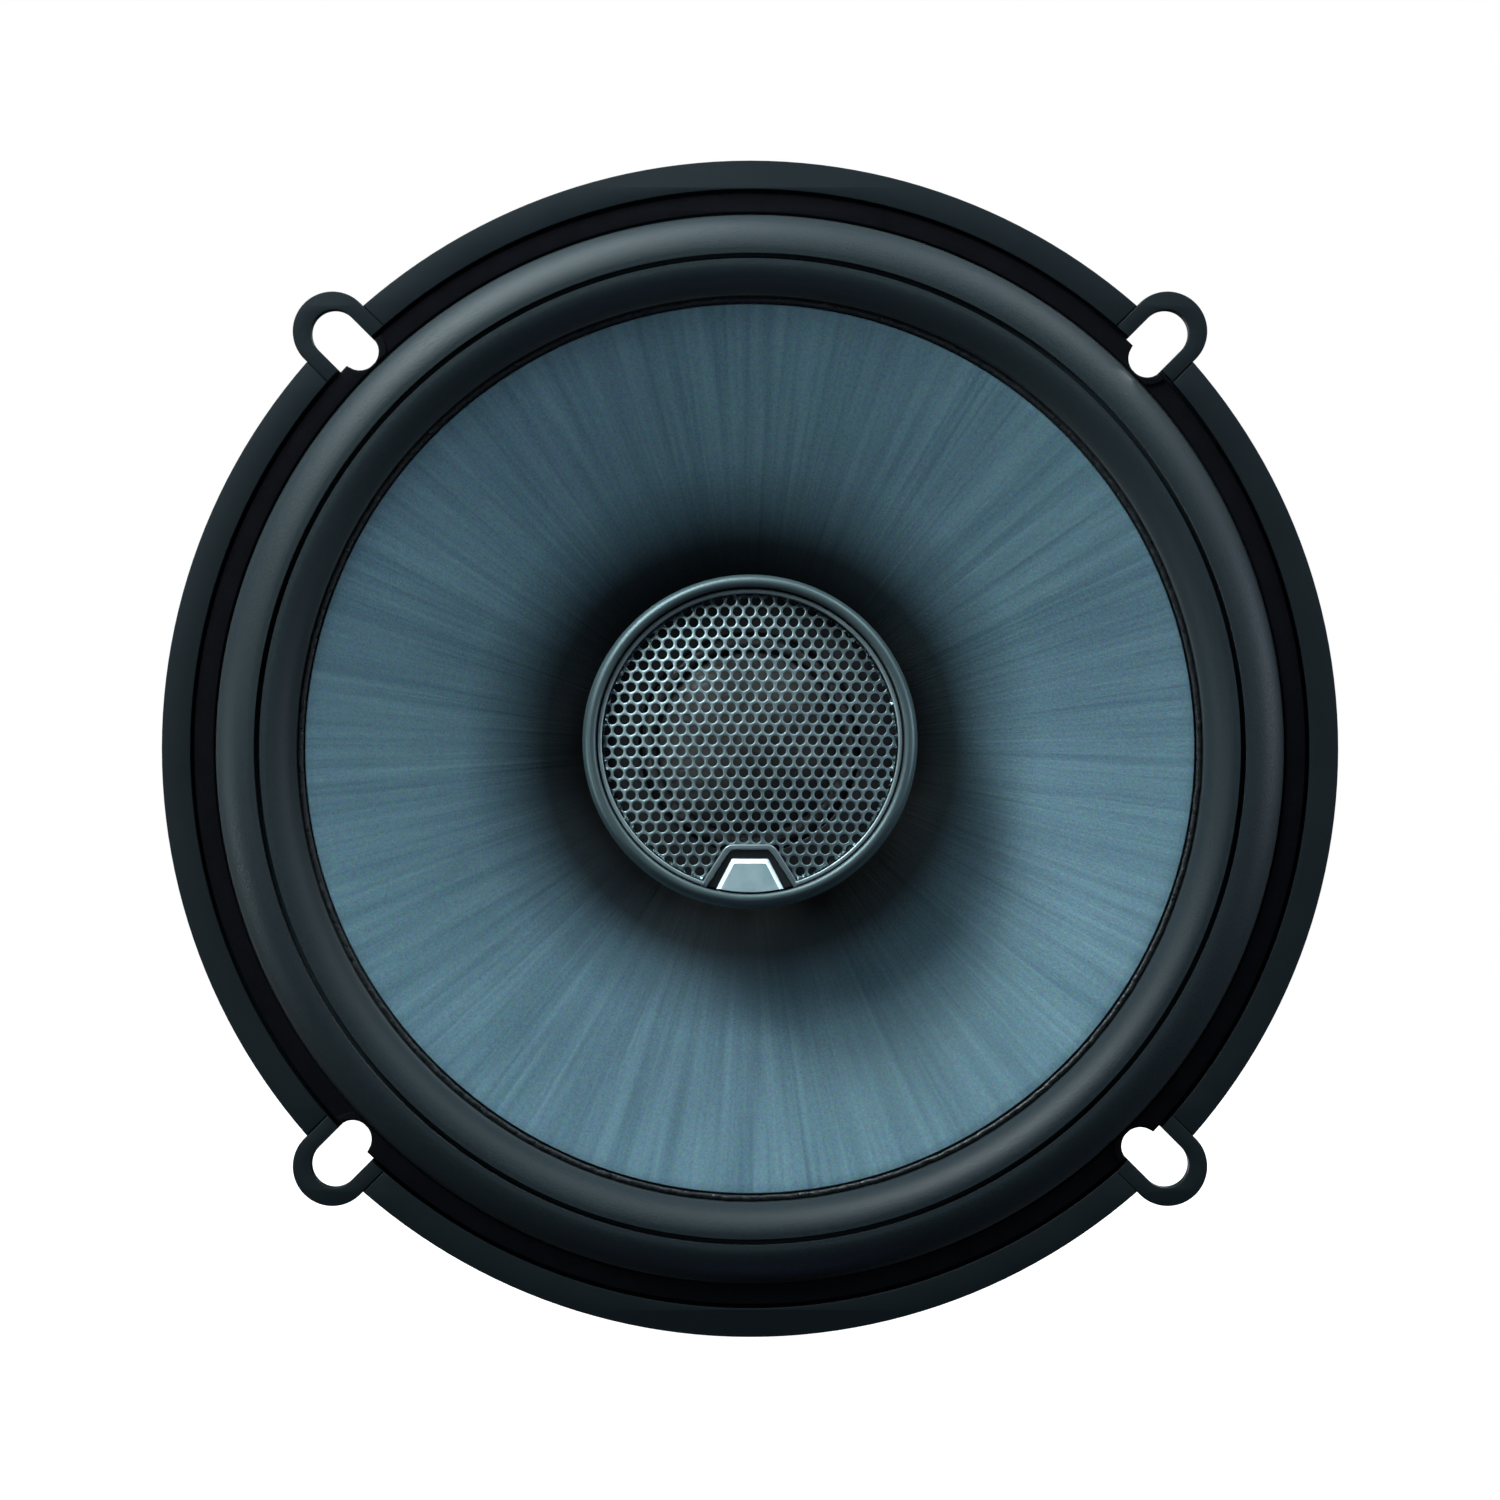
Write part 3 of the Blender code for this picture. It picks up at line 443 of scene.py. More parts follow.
plainFinishes = {
    "ringPaint": {"dark": (0.0030, 0.0058, 0.0076), "light": (0.0039, 0.0069, 0.0088), "mottleSize": 14.0,
                  "rough": (0.5, 0.58), "grainSize": 0.18, "grainDepth": 0.006, "wear": 0.1,
                  "wornTo": (0.012, 0.016, 0.018), "sockets": {"Specular_IOR_Level": 0.12}},
    "basketPaint": {"dark": (0.010, 0.012, 0.014), "light": (0.016, 0.018, 0.021), "mottleSize": 9.0,
                    "rough": (0.38, 0.55), "grainSize": 0.45, "grainDepth": 0.03, "wear": 0.35,
                    "wornTo": (0.05, 0.055, 0.06)},
    "gasketRubber": {"dark": (0.0008, 0.0009, 0.0018), "light": (0.0016, 0.0017, 0.003), "mottleSize": 4.0,
                     "rough": (0.7, 0.85), "grainSize": 0.22, "grainDepth": 0.03,
                     "sockets": {"Specular_IOR_Level": 0.05}},
    "bootRubber": {"dark": (0.010, 0.011, 0.012), "light": (0.018, 0.019, 0.020), "mottleSize": 7.0,
                   "rough": (0.5, 0.68), "grainSize": 0.3, "grainDepth": 0.03, "wear": 0.3,
                   "wornTo": (0.05, 0.05, 0.052)},
    "blackPlastic": {"dark": (0.008, 0.010, 0.012), "light": (0.013, 0.016, 0.018), "mottleSize": 6.0,
                     "rough": (0.35, 0.48), "grainSize": 0.25, "grainDepth": 0.012, "wear": 0.25,
                     "wornTo": (0.05, 0.055, 0.06)},
    "bezelLacquer": {"dark": (0.035, 0.055, 0.060), "light": (0.042, 0.064, 0.069), "mottleSize": 8.0,
                     "rough": (0.42, 0.5), "grainSize": 0.2, "grainDepth": 0.004, "wear": 0.1,
                     "wornTo": (0.16, 0.2, 0.21), "metallic": 0.6},
    "frameLacquer": {"dark": (0.13, 0.17, 0.185), "light": (0.16, 0.205, 0.22), "mottleSize": 3.0,
                     "rough": (0.3, 0.4), "grainSize": 0.15, "grainDepth": 0.004, "wear": 0.2,
                     "wornTo": (0.3, 0.34, 0.36), "metallic": 0.5},
    "badgeSatin": {"dark": (0.28, 0.41, 0.45), "light": (0.31, 0.44, 0.48), "mottleSize": 5.0,
                   "rough": (0.28, 0.36), "grainSize": 0.2, "grainDepth": 0.003, "wear": 0.6,
                   "wornTo": (0.9, 0.95, 0.97), "metallic": 0.3},
    # painted highlight: a much lighter copy of the badge colour for the badge's sloped edge
    "badgeSlopeHighlight": {"dark": (0.62, 0.74, 0.77), "light": (0.70, 0.82, 0.84), "mottleSize": 2.0,
                    "rough": (0.3, 0.4), "grainSize": 0.15, "grainDepth": 0.003, "metallic": 0.2},
    "ferriteBlock": {"dark": (0.022, 0.022, 0.024), "light": (0.045, 0.045, 0.048), "mottleSize": 3.0,
                     "rough": (0.5, 0.75), "grainSize": 0.35, "grainDepth": 0.05, "wear": 0.5,
                     "wornTo": (0.1, 0.1, 0.1), "speck": (0.12, 0.12, 0.12), "speckSize": 0.5,
                     "speckShare": 0.4},
    "felt": {"dark": (0.004, 0.004, 0.005), "light": (0.016, 0.016, 0.018), "mottleSize": 0.5,
             "rough": (0.85, 1.0), "grainSize": 0.2, "grainDepth": 0.15},
    "formerPaper": {"dark": (0.26, 0.17, 0.09), "light": (0.36, 0.26, 0.15), "mottleSize": 2.0,
                    "rough": (0.55, 0.75), "grainSize": 0.2, "grainDepth": 0.02},
    "fibreBoard": {"dark": (0.020, 0.014, 0.010), "light": (0.040, 0.030, 0.022), "mottleSize": 0.9,
                   "rough": (0.45, 0.65), "grainSize": 0.25, "grainDepth": 0.02, "wear": 0.4,
                   "wornTo": (0.12, 0.08, 0.05)},
    "nickel": {"dark": (0.55, 0.54, 0.50), "light": (0.66, 0.65, 0.61), "mottleSize": 3.0,
               "rough": (0.14, 0.26), "grainSize": 0.3, "grainDepth": 0.004, "metallic": 1.0},
    "tinPlate": {"dark": (0.52, 0.51, 0.48), "light": (0.68, 0.67, 0.64), "mottleSize": 1.2,
                 "rough": (0.22, 0.42), "grainSize": 0.25, "grainDepth": 0.01, "metallic": 1.0, "wear": 0.5,
                 "wornTo": (0.6, 0.42, 0.18)},
    "solder": {"dark": (0.5, 0.5, 0.5), "light": (0.7, 0.7, 0.7), "mottleSize": 0.5,
               "rough": (0.12, 0.3), "grainSize": 0.3, "grainDepth": 0.02, "metallic": 1.0},
    "capSleeve": {"dark": (0.010, 0.018, 0.055), "light": (0.016, 0.027, 0.075), "mottleSize": 3.0,
                  "rough": (0.2, 0.32), "grainSize": 0.6, "grainDepth": 0.012, "wear": 0.2,
                  "wornTo": (0.05, 0.07, 0.14)},
    "redWire": {"dark": (0.26, 0.010, 0.010), "light": (0.36, 0.016, 0.014), "mottleSize": 2.0,
                "rough": (0.3, 0.42), "grainSize": 0.2, "grainDepth": 0.008},
    "blackWire": {"dark": (0.010, 0.010, 0.011), "light": (0.018, 0.018, 0.019), "mottleSize": 2.0,
                  "rough": (0.3, 0.42), "grainSize": 0.2, "grainDepth": 0.008},
    "tinselBraid": {"dark": (0.30, 0.26, 0.19), "light": (0.52, 0.46, 0.36), "mottleSize": 0.4,
                    "rough": (0.3, 0.5), "grainSize": 0.12, "grainDepth": 0.03, "metallic": 0.9},
}
looks = {name: plainLook(name, spec) for name, spec in plainFinishes.items()}
looks["zincPlate"] = spunLook("zincPlate", {"dark": (0.46, 0.47, 0.46), "light": (0.60, 0.61, 0.58),
                                            "mottleSize": 3.5, "ringSize": 0.35, "rough": (0.24, 0.42),
                                            "grainDepth": 0.006})
looks["copperWire"] = spunLook("copperWire", {"dark": (0.42, 0.13, 0.05), "light": (0.62, 0.24, 0.1),
                                              "mottleSize": 1.5, "ringSize": 0.2, "rough": (0.2, 0.4),
                                              "grainDepth": 0.01})

coneCloth = {"dark": (0.062, 0.118, 0.149), "light": (0.096, 0.170, 0.204), "streaks": 26.0,
             "glitterSize": 0.32, "glitter": 0.5, "rough": (0.4, 0.55), "metallic": 0.25,
             "shadow": (0.04, 0.05, 0.09), "ridgeDepth": 0.08, "grainDepth": 0.03, "throat": (24.0, 41.0),
             # painted shade near the neck: the share of the colour kept at each point across the throat
             "paintedThroatShade": ((0.0, 0.01), (0.3, 0.10), (0.6, 0.58), (1.0, 1.0))}


def coneLook(spec):
    # cloth with fine streaks that run out from the middle, a sparkle of single fibres, and painted shade that
    # darkens it towards the neck
    look, tree = newLook("coneCloth", spec["metallic"], Sheen_Weight=0.04, Sheen_Roughness=0.4,
                         Specular_IOR_Level=0.2)
    where = placeNode(tree)
    flat = vectorNode(tree, "MULTIPLY", where, (1.0, 0.0, 1.0))
    bearing = vectorNode(tree, "NORMALIZE", flat)
    radius = vectorNode(tree, "LENGTH", flat)
    along = addNode(tree, "ShaderNodeCombineXYZ", {"Y": mathNode(tree, "MULTIPLY", radius, 30.0)}).outputs[0]
    streaks = []
    for count, detail in ((spec["streaks"], 3.0), (spec["streaks"] * 3.1, 2.0)):
        spot = vectorNode(tree, "ADD", vectorNode(tree, "MULTIPLY", bearing, (count,) * 3), along)
        feeds = {"Vector": spot, "Scale": 1.0, "Detail": detail}
        streaks.append(addNode(tree, "ShaderNodeTexNoise", feeds).outputs["Fac"])
    streak = addedUp(tree, *streaks, 0.55)
    colour = rampNode(tree, streak, [(0.34, spec["dark"]), (0.66, spec["light"])])
    tint = noiseNode(tree, where, spec["glitterSize"], 1.0, out="Color")
    colour = mixNode(tree, spec["glitter"], colour, tint, "OVERLAY")
    patches = noiseNode(tree, where, 30.0, 2.0)
    colour = mixNode(tree, rangeNode(tree, patches, 0.35, 0.65, 0.0, 0.18), colour, spec["shadow"])
    # painted shade: the colour falls to almost black towards the neck, standing in for the deep throat and
    # the tweeter's shadow
    depth = rangeNode(tree, radius, *(r * mm for r in spec["throat"]), 0.0, 1.0)
    shade = rampNode(tree, depth, [(at, (value,) * 3) for at, value in spec["paintedThroatShade"]])
    colour = mixNode(tree, 1.0, colour, shade, "MULTIPLY")
    rough = rangeNode(tree, streak, 0.3, 0.7, *spec["rough"])
    grain = noiseNode(tree, where, spec["glitterSize"] * 0.9, 2.0)
    ridges = bumpNode(tree, streak, spec["ridgeDepth"])
    return joinLook(look, colour, rough, bumpNode(tree, grain, spec["grainDepth"], ridges))


surroundRubber = {"dark": (0.0038, 0.0080, 0.0104), "light": (0.0050, 0.0098, 0.0125), "mottleSize": 18.0,
                  "bloom": (0.0100, 0.0175, 0.0210), "rough": (0.46, 0.58), "grainSize": 0.34,
                  "grainDepth": 0.03}


def surroundLook(spec):
    # soft rubber, matt from a fine grain, with a slight bloom
    look, tree = newLook("surroundRubber", 0.0, Sheen_Weight=0.05, Sheen_Roughness=0.5,
                         Specular_IOR_Level=0.18)
    where = placeNode(tree)
    mottle = noiseNode(tree, where, spec["mottleSize"], 5.0)
    colour = rampNode(tree, mottle, [(0.3, spec["dark"]), (0.7, spec["light"])])
    grain = noiseNode(tree, where, spec["grainSize"], 2.0)
    colour = mixNode(tree, rangeNode(tree, grain, 0.35, 0.65, 0.0, 0.3), colour, spec["bloom"])
    rough = rangeNode(tree, grain, 0.3, 0.7, *spec["rough"])
    return joinLook(look, colour, rough, bumpNode(tree, grain, spec["grainDepth"]))


spiderCloth = {"dark": (0.16, 0.085, 0.025), "light": (0.30, 0.18, 0.065), "thread": 0.55,
               "rough": (0.6, 0.85)}
domeSilk = {"dark": (0.002, 0.0025, 0.003), "light": (0.004, 0.005, 0.006), "thread": 0.16,
            "rough": (0.3, 0.45)}


def wovenLook(name, spec, **sockets):
    # plain weave of crossed threads across the speaker's face
    look, tree = newLook(name, 0.0, **sockets)
    where = placeNode(tree)
    pace = 2 * math.pi / (spec["thread"] * 2 * mm)
    apart = addNode(tree, "ShaderNodeSeparateXYZ", {"Vector": where}).outputs
    warp, weft = (mathNode(tree, "SINE", mathNode(tree, "MULTIPLY", apart[axis], pace)) for axis in "XZ")
    weave = rangeNode(tree, mathNode(tree, "MULTIPLY", warp, weft), -1.0, 1.0, 0.0, 1.0)
    mottle = noiseNode(tree, where, 1.4, 4.0)
    height = addedUp(tree, weave, mottle, 0.6)
    colour = rampNode(tree, height, [(0.2, spec["dark"]), (0.8, spec["light"])])
    return joinLook(look, colour, rangeNode(tree, mottle, 0.3, 0.7, *spec["rough"]),
                    bumpNode(tree, height, 0.12))


glueGloss = {"dark": (0.003, 0.004, 0.005), "light": (0.009, 0.011, 0.013), "rough": (0.22, 0.6),
             "dimpleSize": 0.8, "dimpleDepth": 0.2}


def glueLook(spec):
    # wet-looking adhesive with small dimples
    look, tree = newLook("glueGloss", 0.0, Specular_IOR_Level=0.3)
    dimples = noiseNode(tree, placeNode(tree), spec["dimpleSize"], 3.0)
    colour = rampNode(tree, dimples, [(0.3, spec["dark"]), (0.7, spec["light"])])
    rough = rangeNode(tree, dimples, 0.3, 0.7, *spec["rough"])
    return joinLook(look, colour, rough, bumpNode(tree, dimples, spec["dimpleDepth"]))


grilleSheet = {"dark": (0.135, 0.185, 0.20), "light": (0.21, 0.275, 0.29), "rough": (0.34, 0.44),
               "metallic": 0.9, "brush": (0.25, 0.25, 3.0), "brushDepth": 0.006}


def grilleLook(spec):
    # stamped sheet: satin metal with a fine upright brushing
    look, tree = newLook("grilleSheet", spec["metallic"])
    where = placeNode(tree)
    brushed = vectorNode(tree, "MULTIPLY", where, tuple(1 / (size * mm) for size in spec["brush"]))
    brush = addNode(tree, "ShaderNodeTexNoise",
                    {"Vector": brushed, "Scale": 1.0, "Detail": 2.0}).outputs["Fac"]
    mottle = noiseNode(tree, where, 4.0, 3.0)
    both = addedUp(tree, brush, mottle)
    colour = rampNode(tree, both, [(0.35, spec["dark"]), (0.65, spec["light"])])
    rough = rangeNode(tree, both, 0.3, 0.7, *spec["rough"])
    return joinLook(look, colour, rough, bumpNode(tree, brush, spec["brushDepth"]))


looks["coneCloth"] = coneLook(coneCloth)
looks["surroundRubber"] = surroundLook(surroundRubber)
looks["spiderCloth"] = wovenLook("spiderCloth", spiderCloth)
looks["domeSilk"] = wovenLook("domeSilk", domeSilk, Coat_Weight=0.1, Coat_Roughness=0.2)
looks["glueGloss"] = glueLook(glueGloss)
looks["grilleSheet"] = grilleLook(grilleSheet)
print("finishes ready:", len(looks))


# mounting ring with its slotted tabs
ringDims = {"outer": 82.5, "inner": 78.5, "ledgeInner": 76.6, "ledgeTop": 1.0, "tabs": (45, 135, 225, 315),
            "tabPitch": 82.83, "tabRadius": 5.57, "slotPitch": 82.5, "slotRadius": 3.25, "seam": 0.1,
            "skin": 0.25, "edge": 0.1}


def bandBetween(inner, outer, start, end, side, count=48):
    # part of a ring between two tabs, its ends parallel to the tabs
    ends = [math.degrees(math.asin(side / radius)) for radius in (outer, inner)]
    return (arcPoints((0, 0), outer, start + ends[0], end - ends[0], count)
            + arcPoints((0, 0), inner, end - ends[1], start + ends[1], count))


def makeRing(dims):
    back, front = spanOf("mounting_ring")[1:]
    outer, inner, tab, pitch = dims["outer"], dims["inner"], dims["tabRadius"], dims["tabPitch"]
    slotPitch, slotRadius = dims["slotPitch"], dims["slotRadius"]
    side, flank = tab + dims["seam"], tab - dims["seam"]
    foot, mouth = (math.sqrt(inner ** 2 - s * s) for s in (flank, slotRadius))
    reach = math.degrees(math.acos(flank / tab))
    gap = math.degrees(math.asin(slotRadius / inner))
    body, bore, skin, ledge = [], [], [], []
    meet = math.degrees(math.asin(tab / outer))
    for bearing in dims["tabs"]:
        nose = [around(x, bearing, y) for x, y in arcPoints((pitch, 0), tab, -90, 90, 36)]
        body += nose + arcPoints((0, 0), outer, bearing + meet, bearing + 90 - meet, 60)
        slot = [around(x, bearing, y) for x, y in arcPoints((slotPitch, 0), slotRadius, -90, 90, 28)]
        bore += slot + arcPoints((0, 0), inner, bearing + gap, bearing + 90 - gap, 60)
        skin.append(bandBetween(inner, outer, bearing, bearing + 90, side))
        pad = [(foot, -flank), (pitch, -flank)] + arcPoints((pitch, 0), tab, -90 + reach, 90 - reach, 36)
        pad += [(pitch, flank), (foot, flank), (mouth, slotRadius)]
        pad += arcPoints((slotPitch, 0), slotRadius, 90, -90, 28) + [(mouth, -slotRadius)]
        skin.append([around(x, bearing, y) for x, y in pad])
        ledge.append(bandBetween(dims["ledgeInner"], inner + 0.1, bearing, bearing + 90, slotRadius))
    top = front - dims["skin"]
    shape = merged(plateShape([body, bore], back, top, 0.12),
                   plateShape(skin, top - 0.3, front, dims["edge"]),
                   plateShape(ledge, back, dims["ledgeTop"], 0.08))
    return fit(makePiece("mountingRing", shape, looks["ringPaint"]), "frame", "mounting_ring")


makeRing(ringDims)

# trim gasket, notched at each slot
notchDims = {"pitch": 78.2, "side": -0.7, "radius": 2.68, "floor": 75.45}
gasketDims = {"inner": 75.15, "outer": 78.05, "top": 3.8, "edge": 0.28, "lip": (2.78, 3.75),
              "lipTurn": (-98, -164), "lipTop": 4.15}


def notchedCircle(radius, floor, dims, count=1440):
    # a circle with a round bite at every tab
    out = []
    for i in range(count):
        bearing = 360 * i / count
        reach = radius
        for tab in ringDims["tabs"]:
            away = (bearing - tab + 180) % 360 - 180
            if abs(away) < 6:
                t = math.radians(away)
                along = dims["pitch"] * math.cos(t) + dims["side"] * math.sin(t)
                apart = dims["pitch"] * math.sin(t) - dims["side"] * math.cos(t)
                if abs(apart) < dims["radius"]:
                    reach = min(reach, max(floor, along - math.sqrt(dims["radius"] ** 2 - apart ** 2)))
        out.append(around(reach, bearing))
    return out


def notchDiscs(low, top):
    spots = [around(notchDims["pitch"], tab, notchDims["side"]) for tab in ringDims["tabs"]]
    return merged(*(plateShape([circlePoints(spot, notchDims["radius"], 48)], low, top) for spot in spots))


def lipOutline(tab, dims):
    # a raised collar along the notch's clockwise side, kept within the gasket's own width
    near, far = dims["lip"]
    start, end = dims["lipTurn"]
    centre = (notchDims["pitch"], notchDims["side"])
    out = []
    for x, y in arcPoints(centre, near, start, end, 24) + arcPoints(centre, far, end, start, 24):
        r = math.hypot(x, y)
        keep = min(max(r, dims["inner"] + 0.15), dims["outer"] - 0.1) / r
        out.append(around(x * keep, tab, y * keep))
    return out


def makeGasket(dims):
    back = spanOf("trim_gasket")[1]
    band = plateShape([notchedCircle(dims["outer"], notchDims["floor"], notchDims),
                       circlePoints((0, 0), dims["inner"], 720)], back, dims["top"], dims["edge"], 3)
    lips = [plateShape([lipOutline(tab, dims)], dims["top"] - 0.3, dims["lipTop"], 0.12)
            for tab in ringDims["tabs"]]
    return fit(makePiece("trimGasket", merged(band, *lips), looks["gasketRubber"]), "frame", "trim_gasket")


makeGasket(gasketDims)
print("ring and gasket done")

# surround: two lobes between a glued foot outside and a lap under the cone's edge
surroundDims = {"outerLobe": (70.1, 3.0, 4.65, 3.9), "innerLobe": (68.0, 2.95, 3.95, 3.8),
                "crease": ((69.7, 6.88), (69.7, 5.5), (69.5, 5.1), (69.05, 4.98), (68.6, 5.1), (68.4, 5.5),
                           (68.4, 6.74)),
                "crown": 1.2, "outside": ((75.6, 2.65), (75.2, 2.65)),
                "inside": ((64.0, 2.4), (63.75, 1.85), (63.2, 1.5), (61.3, 0.95)),
                "foot": (77.9, 75.45, 75.2), "footSpan": (2.42, 2.9), "thickness": 0.5, "steps": 320,
                "fixed": 74.7, "moving": 64.1}


def makeSurround(dims):
    line = list(dims["outside"])
    r0, h0, wide, high = dims["outerLobe"]
    crown = dims["crown"]
    line += [(r0 + wide * math.cos(t) ** crown, h0 + high * math.sin(t) ** crown)
             for t in np.radians(np.linspace(4, 90, 26))]
    line += dims["crease"]
    r0, h0, wide, high = dims["innerLobe"]
    line += [(r0 - wide * math.sin(t) ** crown, h0 + high * math.cos(t) ** crown)
             for t in np.radians(np.linspace(0, 90, 26))]
    line += dims["inside"]
    lobes = turnedShape(thickened(line, dims["thickness"]), dims["steps"])
    outer, floor, inner = dims["foot"]
    foot = plateShape([notchedCircle(outer, floor, notchDims), circlePoints((0, 0), inner, 720)],
                      *dims["footSpan"], 0.08)
    item = makePiece("surround", merged(lobes, foot), looks["surroundRubber"], sharp=60)
    return bendByRadius(item, "surround")


makeSurround(surroundDims)

# cone with its neck, and the adhesive between cone and surround
coneDims = {"edge": (62.5, 2.05), "bend": (28.8, -8.25), "neck": (18.1, -21.0), "neckEnd": (18.1, -22.5),
            "thickness": 0.5, "steps": 320}


def makeCone(dims):
    line = quadCurve(dims["edge"], dims["bend"], dims["neck"], 48) + [dims["neckEnd"]]
    shape = turnedShape(rounded(thickened(line, dims["thickness"]), 0.12, 2), dims["steps"])
    return fit(makePiece("cone", shape, looks["coneCloth"], sharp=50), "cone", "cone")


makeCone(coneDims)

beadDims = {"outline": ((62.72, 1.7), (62.72, 2.12), (62.85, 2.33), (63.1, 2.42), (63.4, 2.34), (63.62, 2.15),
                        (63.7, 2.0), (63.5, 1.8)),
            "steps": 900, "wobble": 0.06, "waves": (37, 53, 89, 131, 173, 229, 283)}


def makeBead(dims):
    # the bead's height and width wander as if it was laid by hand
    verts, faces = turnedShape(dims["outline"], dims["steps"])
    rng = np.random.default_rng(7)
    waves = [(n, rng.uniform(0, 2 * math.pi), rng.uniform(0.4, 1.0)) for n in dims["waves"]]
    out = []
    for x, y, h in verts:
        t = math.atan2(y, x)
        lift = sum(size * math.sin(n * t + phase) for n, phase, size in waves) / 2.6
        fade = max(0.0, (h - 1.9) / 0.5)
        grow = 1 + dims["wobble"] * 0.02 * lift * fade
        out.append((x * grow, y * grow, h + dims["wobble"] * lift * fade))
    return fit(makePiece("glueBead", (out, faces), looks["glueGloss"], sharp=80), "cone", "glue_bead")


makeBead(beadDims)

# spider: corrugated cloth between the voice coil and the basket's shelf
spiderDims = {"mid": -23.75, "inner": 17.9, "collar": 20.4, "waves": 5, "flat": 38.4, "outer": 43.4,
              "lift": 0.85, "thickness": 0.4, "steps": 240, "fixed": 38.4, "moving": 20.6}


def makeSpider(dims):
    line = [(dims["inner"], dims["mid"] - 0.2), (dims["collar"], dims["mid"] - 0.2)]
    span = dims["flat"] - dims["collar"]
    for i in range(1, 80):
        share = i / 80
        wave = dims["lift"] * math.sin(2 * math.pi * dims["waves"] * share)
        line.append((dims["collar"] + span * share, dims["mid"] - 0.2 + 0.1 * share + wave))
    line += [(dims["flat"], dims["mid"] - 0.3), (dims["outer"], dims["mid"] - 0.35)]
    shape = turnedShape(thickened(line, dims["thickness"]), dims["steps"])
    return bendByRadius(makePiece("spider", shape, looks["spiderCloth"]), "spider")


makeSpider(spiderDims)
print("surround, cone, bead and spider done")

# basket: pressed sheet with six windows and a rib down each spoke but the left one, which carries the
# terminal board
basketDims = {
    "profile": ((78.1, 2.3), (74.6, 2.3), (73.8, 1.5), (72.6, -6.0), (44.2, -24.4), (38.2, -24.4),
                (38.2, -33.0), (21.5, -33.0), (21.5, -34.2), (39.4, -34.2), (39.4, -25.6), (44.6, -25.6),
                (73.7, -6.6), (75.0, 0.9), (75.4, 1.3), (78.1, 1.3)),
    "bend": 1.1, "edge": 0.35, "steps": 240, "windows": 6, "windowHalf": 23.0, "windowRadii": (47.5, 68.5),
    "corner": 3.0, "rivetPitch": 30.0, "rivetHole": 1.65, "ribEnds": ((46.5, -24.55), (70.0, -9.1)),
    "ribWidth": 1.3, "ribBearings": (60, 120, 240, 300, 0),
}


def windowOutline(bearing, dims):
    # one opening between two spokes, its four corners swapped for short curves
    low, high = dims["windowRadii"]
    half = dims["windowHalf"]
    outline = (arcPoints((0, 0), high, bearing - half, bearing + half, 24)
               + arcPoints((0, 0), low, bearing + half, bearing - half, 18))
    corners = (0, 24, 25, 43)  # first and last points of the two arcs
    out = []
    for i, point in enumerate(outline):
        corner = Vector(point)
        back = Vector(outline[i - 1]) - corner
        ahead = Vector(outline[(i + 1) % len(outline)]) - corner
        if back.angle(ahead) > 2.5:
            if min((corner - Vector(outline[k])).length for k in corners) > dims["corner"]:
                out.append(point)
            continue
        if back.length < 5:
            back = Vector(outline[i - 2]) - corner
        if ahead.length < 5:
            ahead = Vector(outline[(i + 2) % len(outline)]) - corner
        a, b = corner + back.normalized() * dims["corner"], corner + ahead.normalized() * dims["corner"]
        for k in range(7):
            t = k / 6
            out.append(tuple(a.lerp(corner, t).lerp(corner.lerp(b, t), t)))
    return out


def makeBasket(dims):
    shape = turnedShape(rounded(dims["profile"], dims["bend"], 4), dims["steps"])
    item = makePiece("basket", shape, looks["basketPaint"])
    windows = [plateShape([windowOutline(30 + 60 * k, dims)], -60.0, -3.0) for k in range(dims["windows"])]
    spots = [around(dims["rivetPitch"], 45 + 90 * k) for k in range(4)]
    rivets = [plateShape([circlePoints(spot, dims["rivetHole"], 24)], -60.0, -20.0) for spot in spots]
    cutWith(item, merged(*windows, *rivets, notchDiscs(-6.0, 14.0)))
    soften = item.modifiers.new("soften", "BEVEL")
    soften.width, soften.segments, soften.limit_method = dims["edge"] * mm, 2, "ANGLE"
    soften.angle_limit = math.radians(50)
    settled(item)
    ribs = []
    inner, outer = (Vector(end) for end in dims["ribEnds"])
    spots = [inner.lerp(outer, t) for t in np.linspace(0, 1, 24)]
    for bearing in dims["ribBearings"]:
        path = [(*around(spot.x, bearing), spot.y - 0.3) for spot in spots]
        ribs.append(tubeShape(path, dims["ribWidth"], 16))
    ribItem = makePiece("basketRibs", merged(*ribs), looks["basketPaint"], sharp=60)
    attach(ribItem, "frame")
    return fit(item, "frame", "basket")


makeBasket(basketDims)
print("basket done")

# motor: plates, ferrite ring, felt, rubber boot and rivets
motorDims = {
    "front_plate": {"inner": 18.9, "edge": 0.4, "look": "zincPlate"},
    "ferrite_magnet": {"inner": 22.0, "edge": 0.8, "look": "ferriteBlock"},
    "pole_felt": {"inner": 9.3, "edge": 0.3, "look": "felt"},
    "post_washer": {"inner": 4.2, "edge": 0.15, "look": "zincPlate"},
    "swivel_clip": {"inner": 4.35, "edge": 0.12, "look": "zincPlate"},
    "coil_former": {"inner": 17.4, "edge": 0.05, "look": "formerPaper"},
}


def nameOf(node):
    words = node.split("_")
    return words[0] + "".join(word.capitalize() for word in words[1:])


def makeRings(dims):
    for node, spec in dims.items():
        outer, back, front = spanOf(node)
        outline = [(spec["inner"], back), (spec["inner"], front), (outer, front), (outer, back)]
        shape = turnedShape(rounded(outline, spec["edge"], 3), 160)
        item = makePiece(nameOf(node), shape, looks[spec["look"]])
        fit(item, "cone" if node == "coil_former" else "frame", node)


makeRings(motorDims)

windingDims = {"node": "coil_winding", "wire": 0.28, "inner": 17.75, "outer": 18.4, "span": (-40.4, -32.4)}


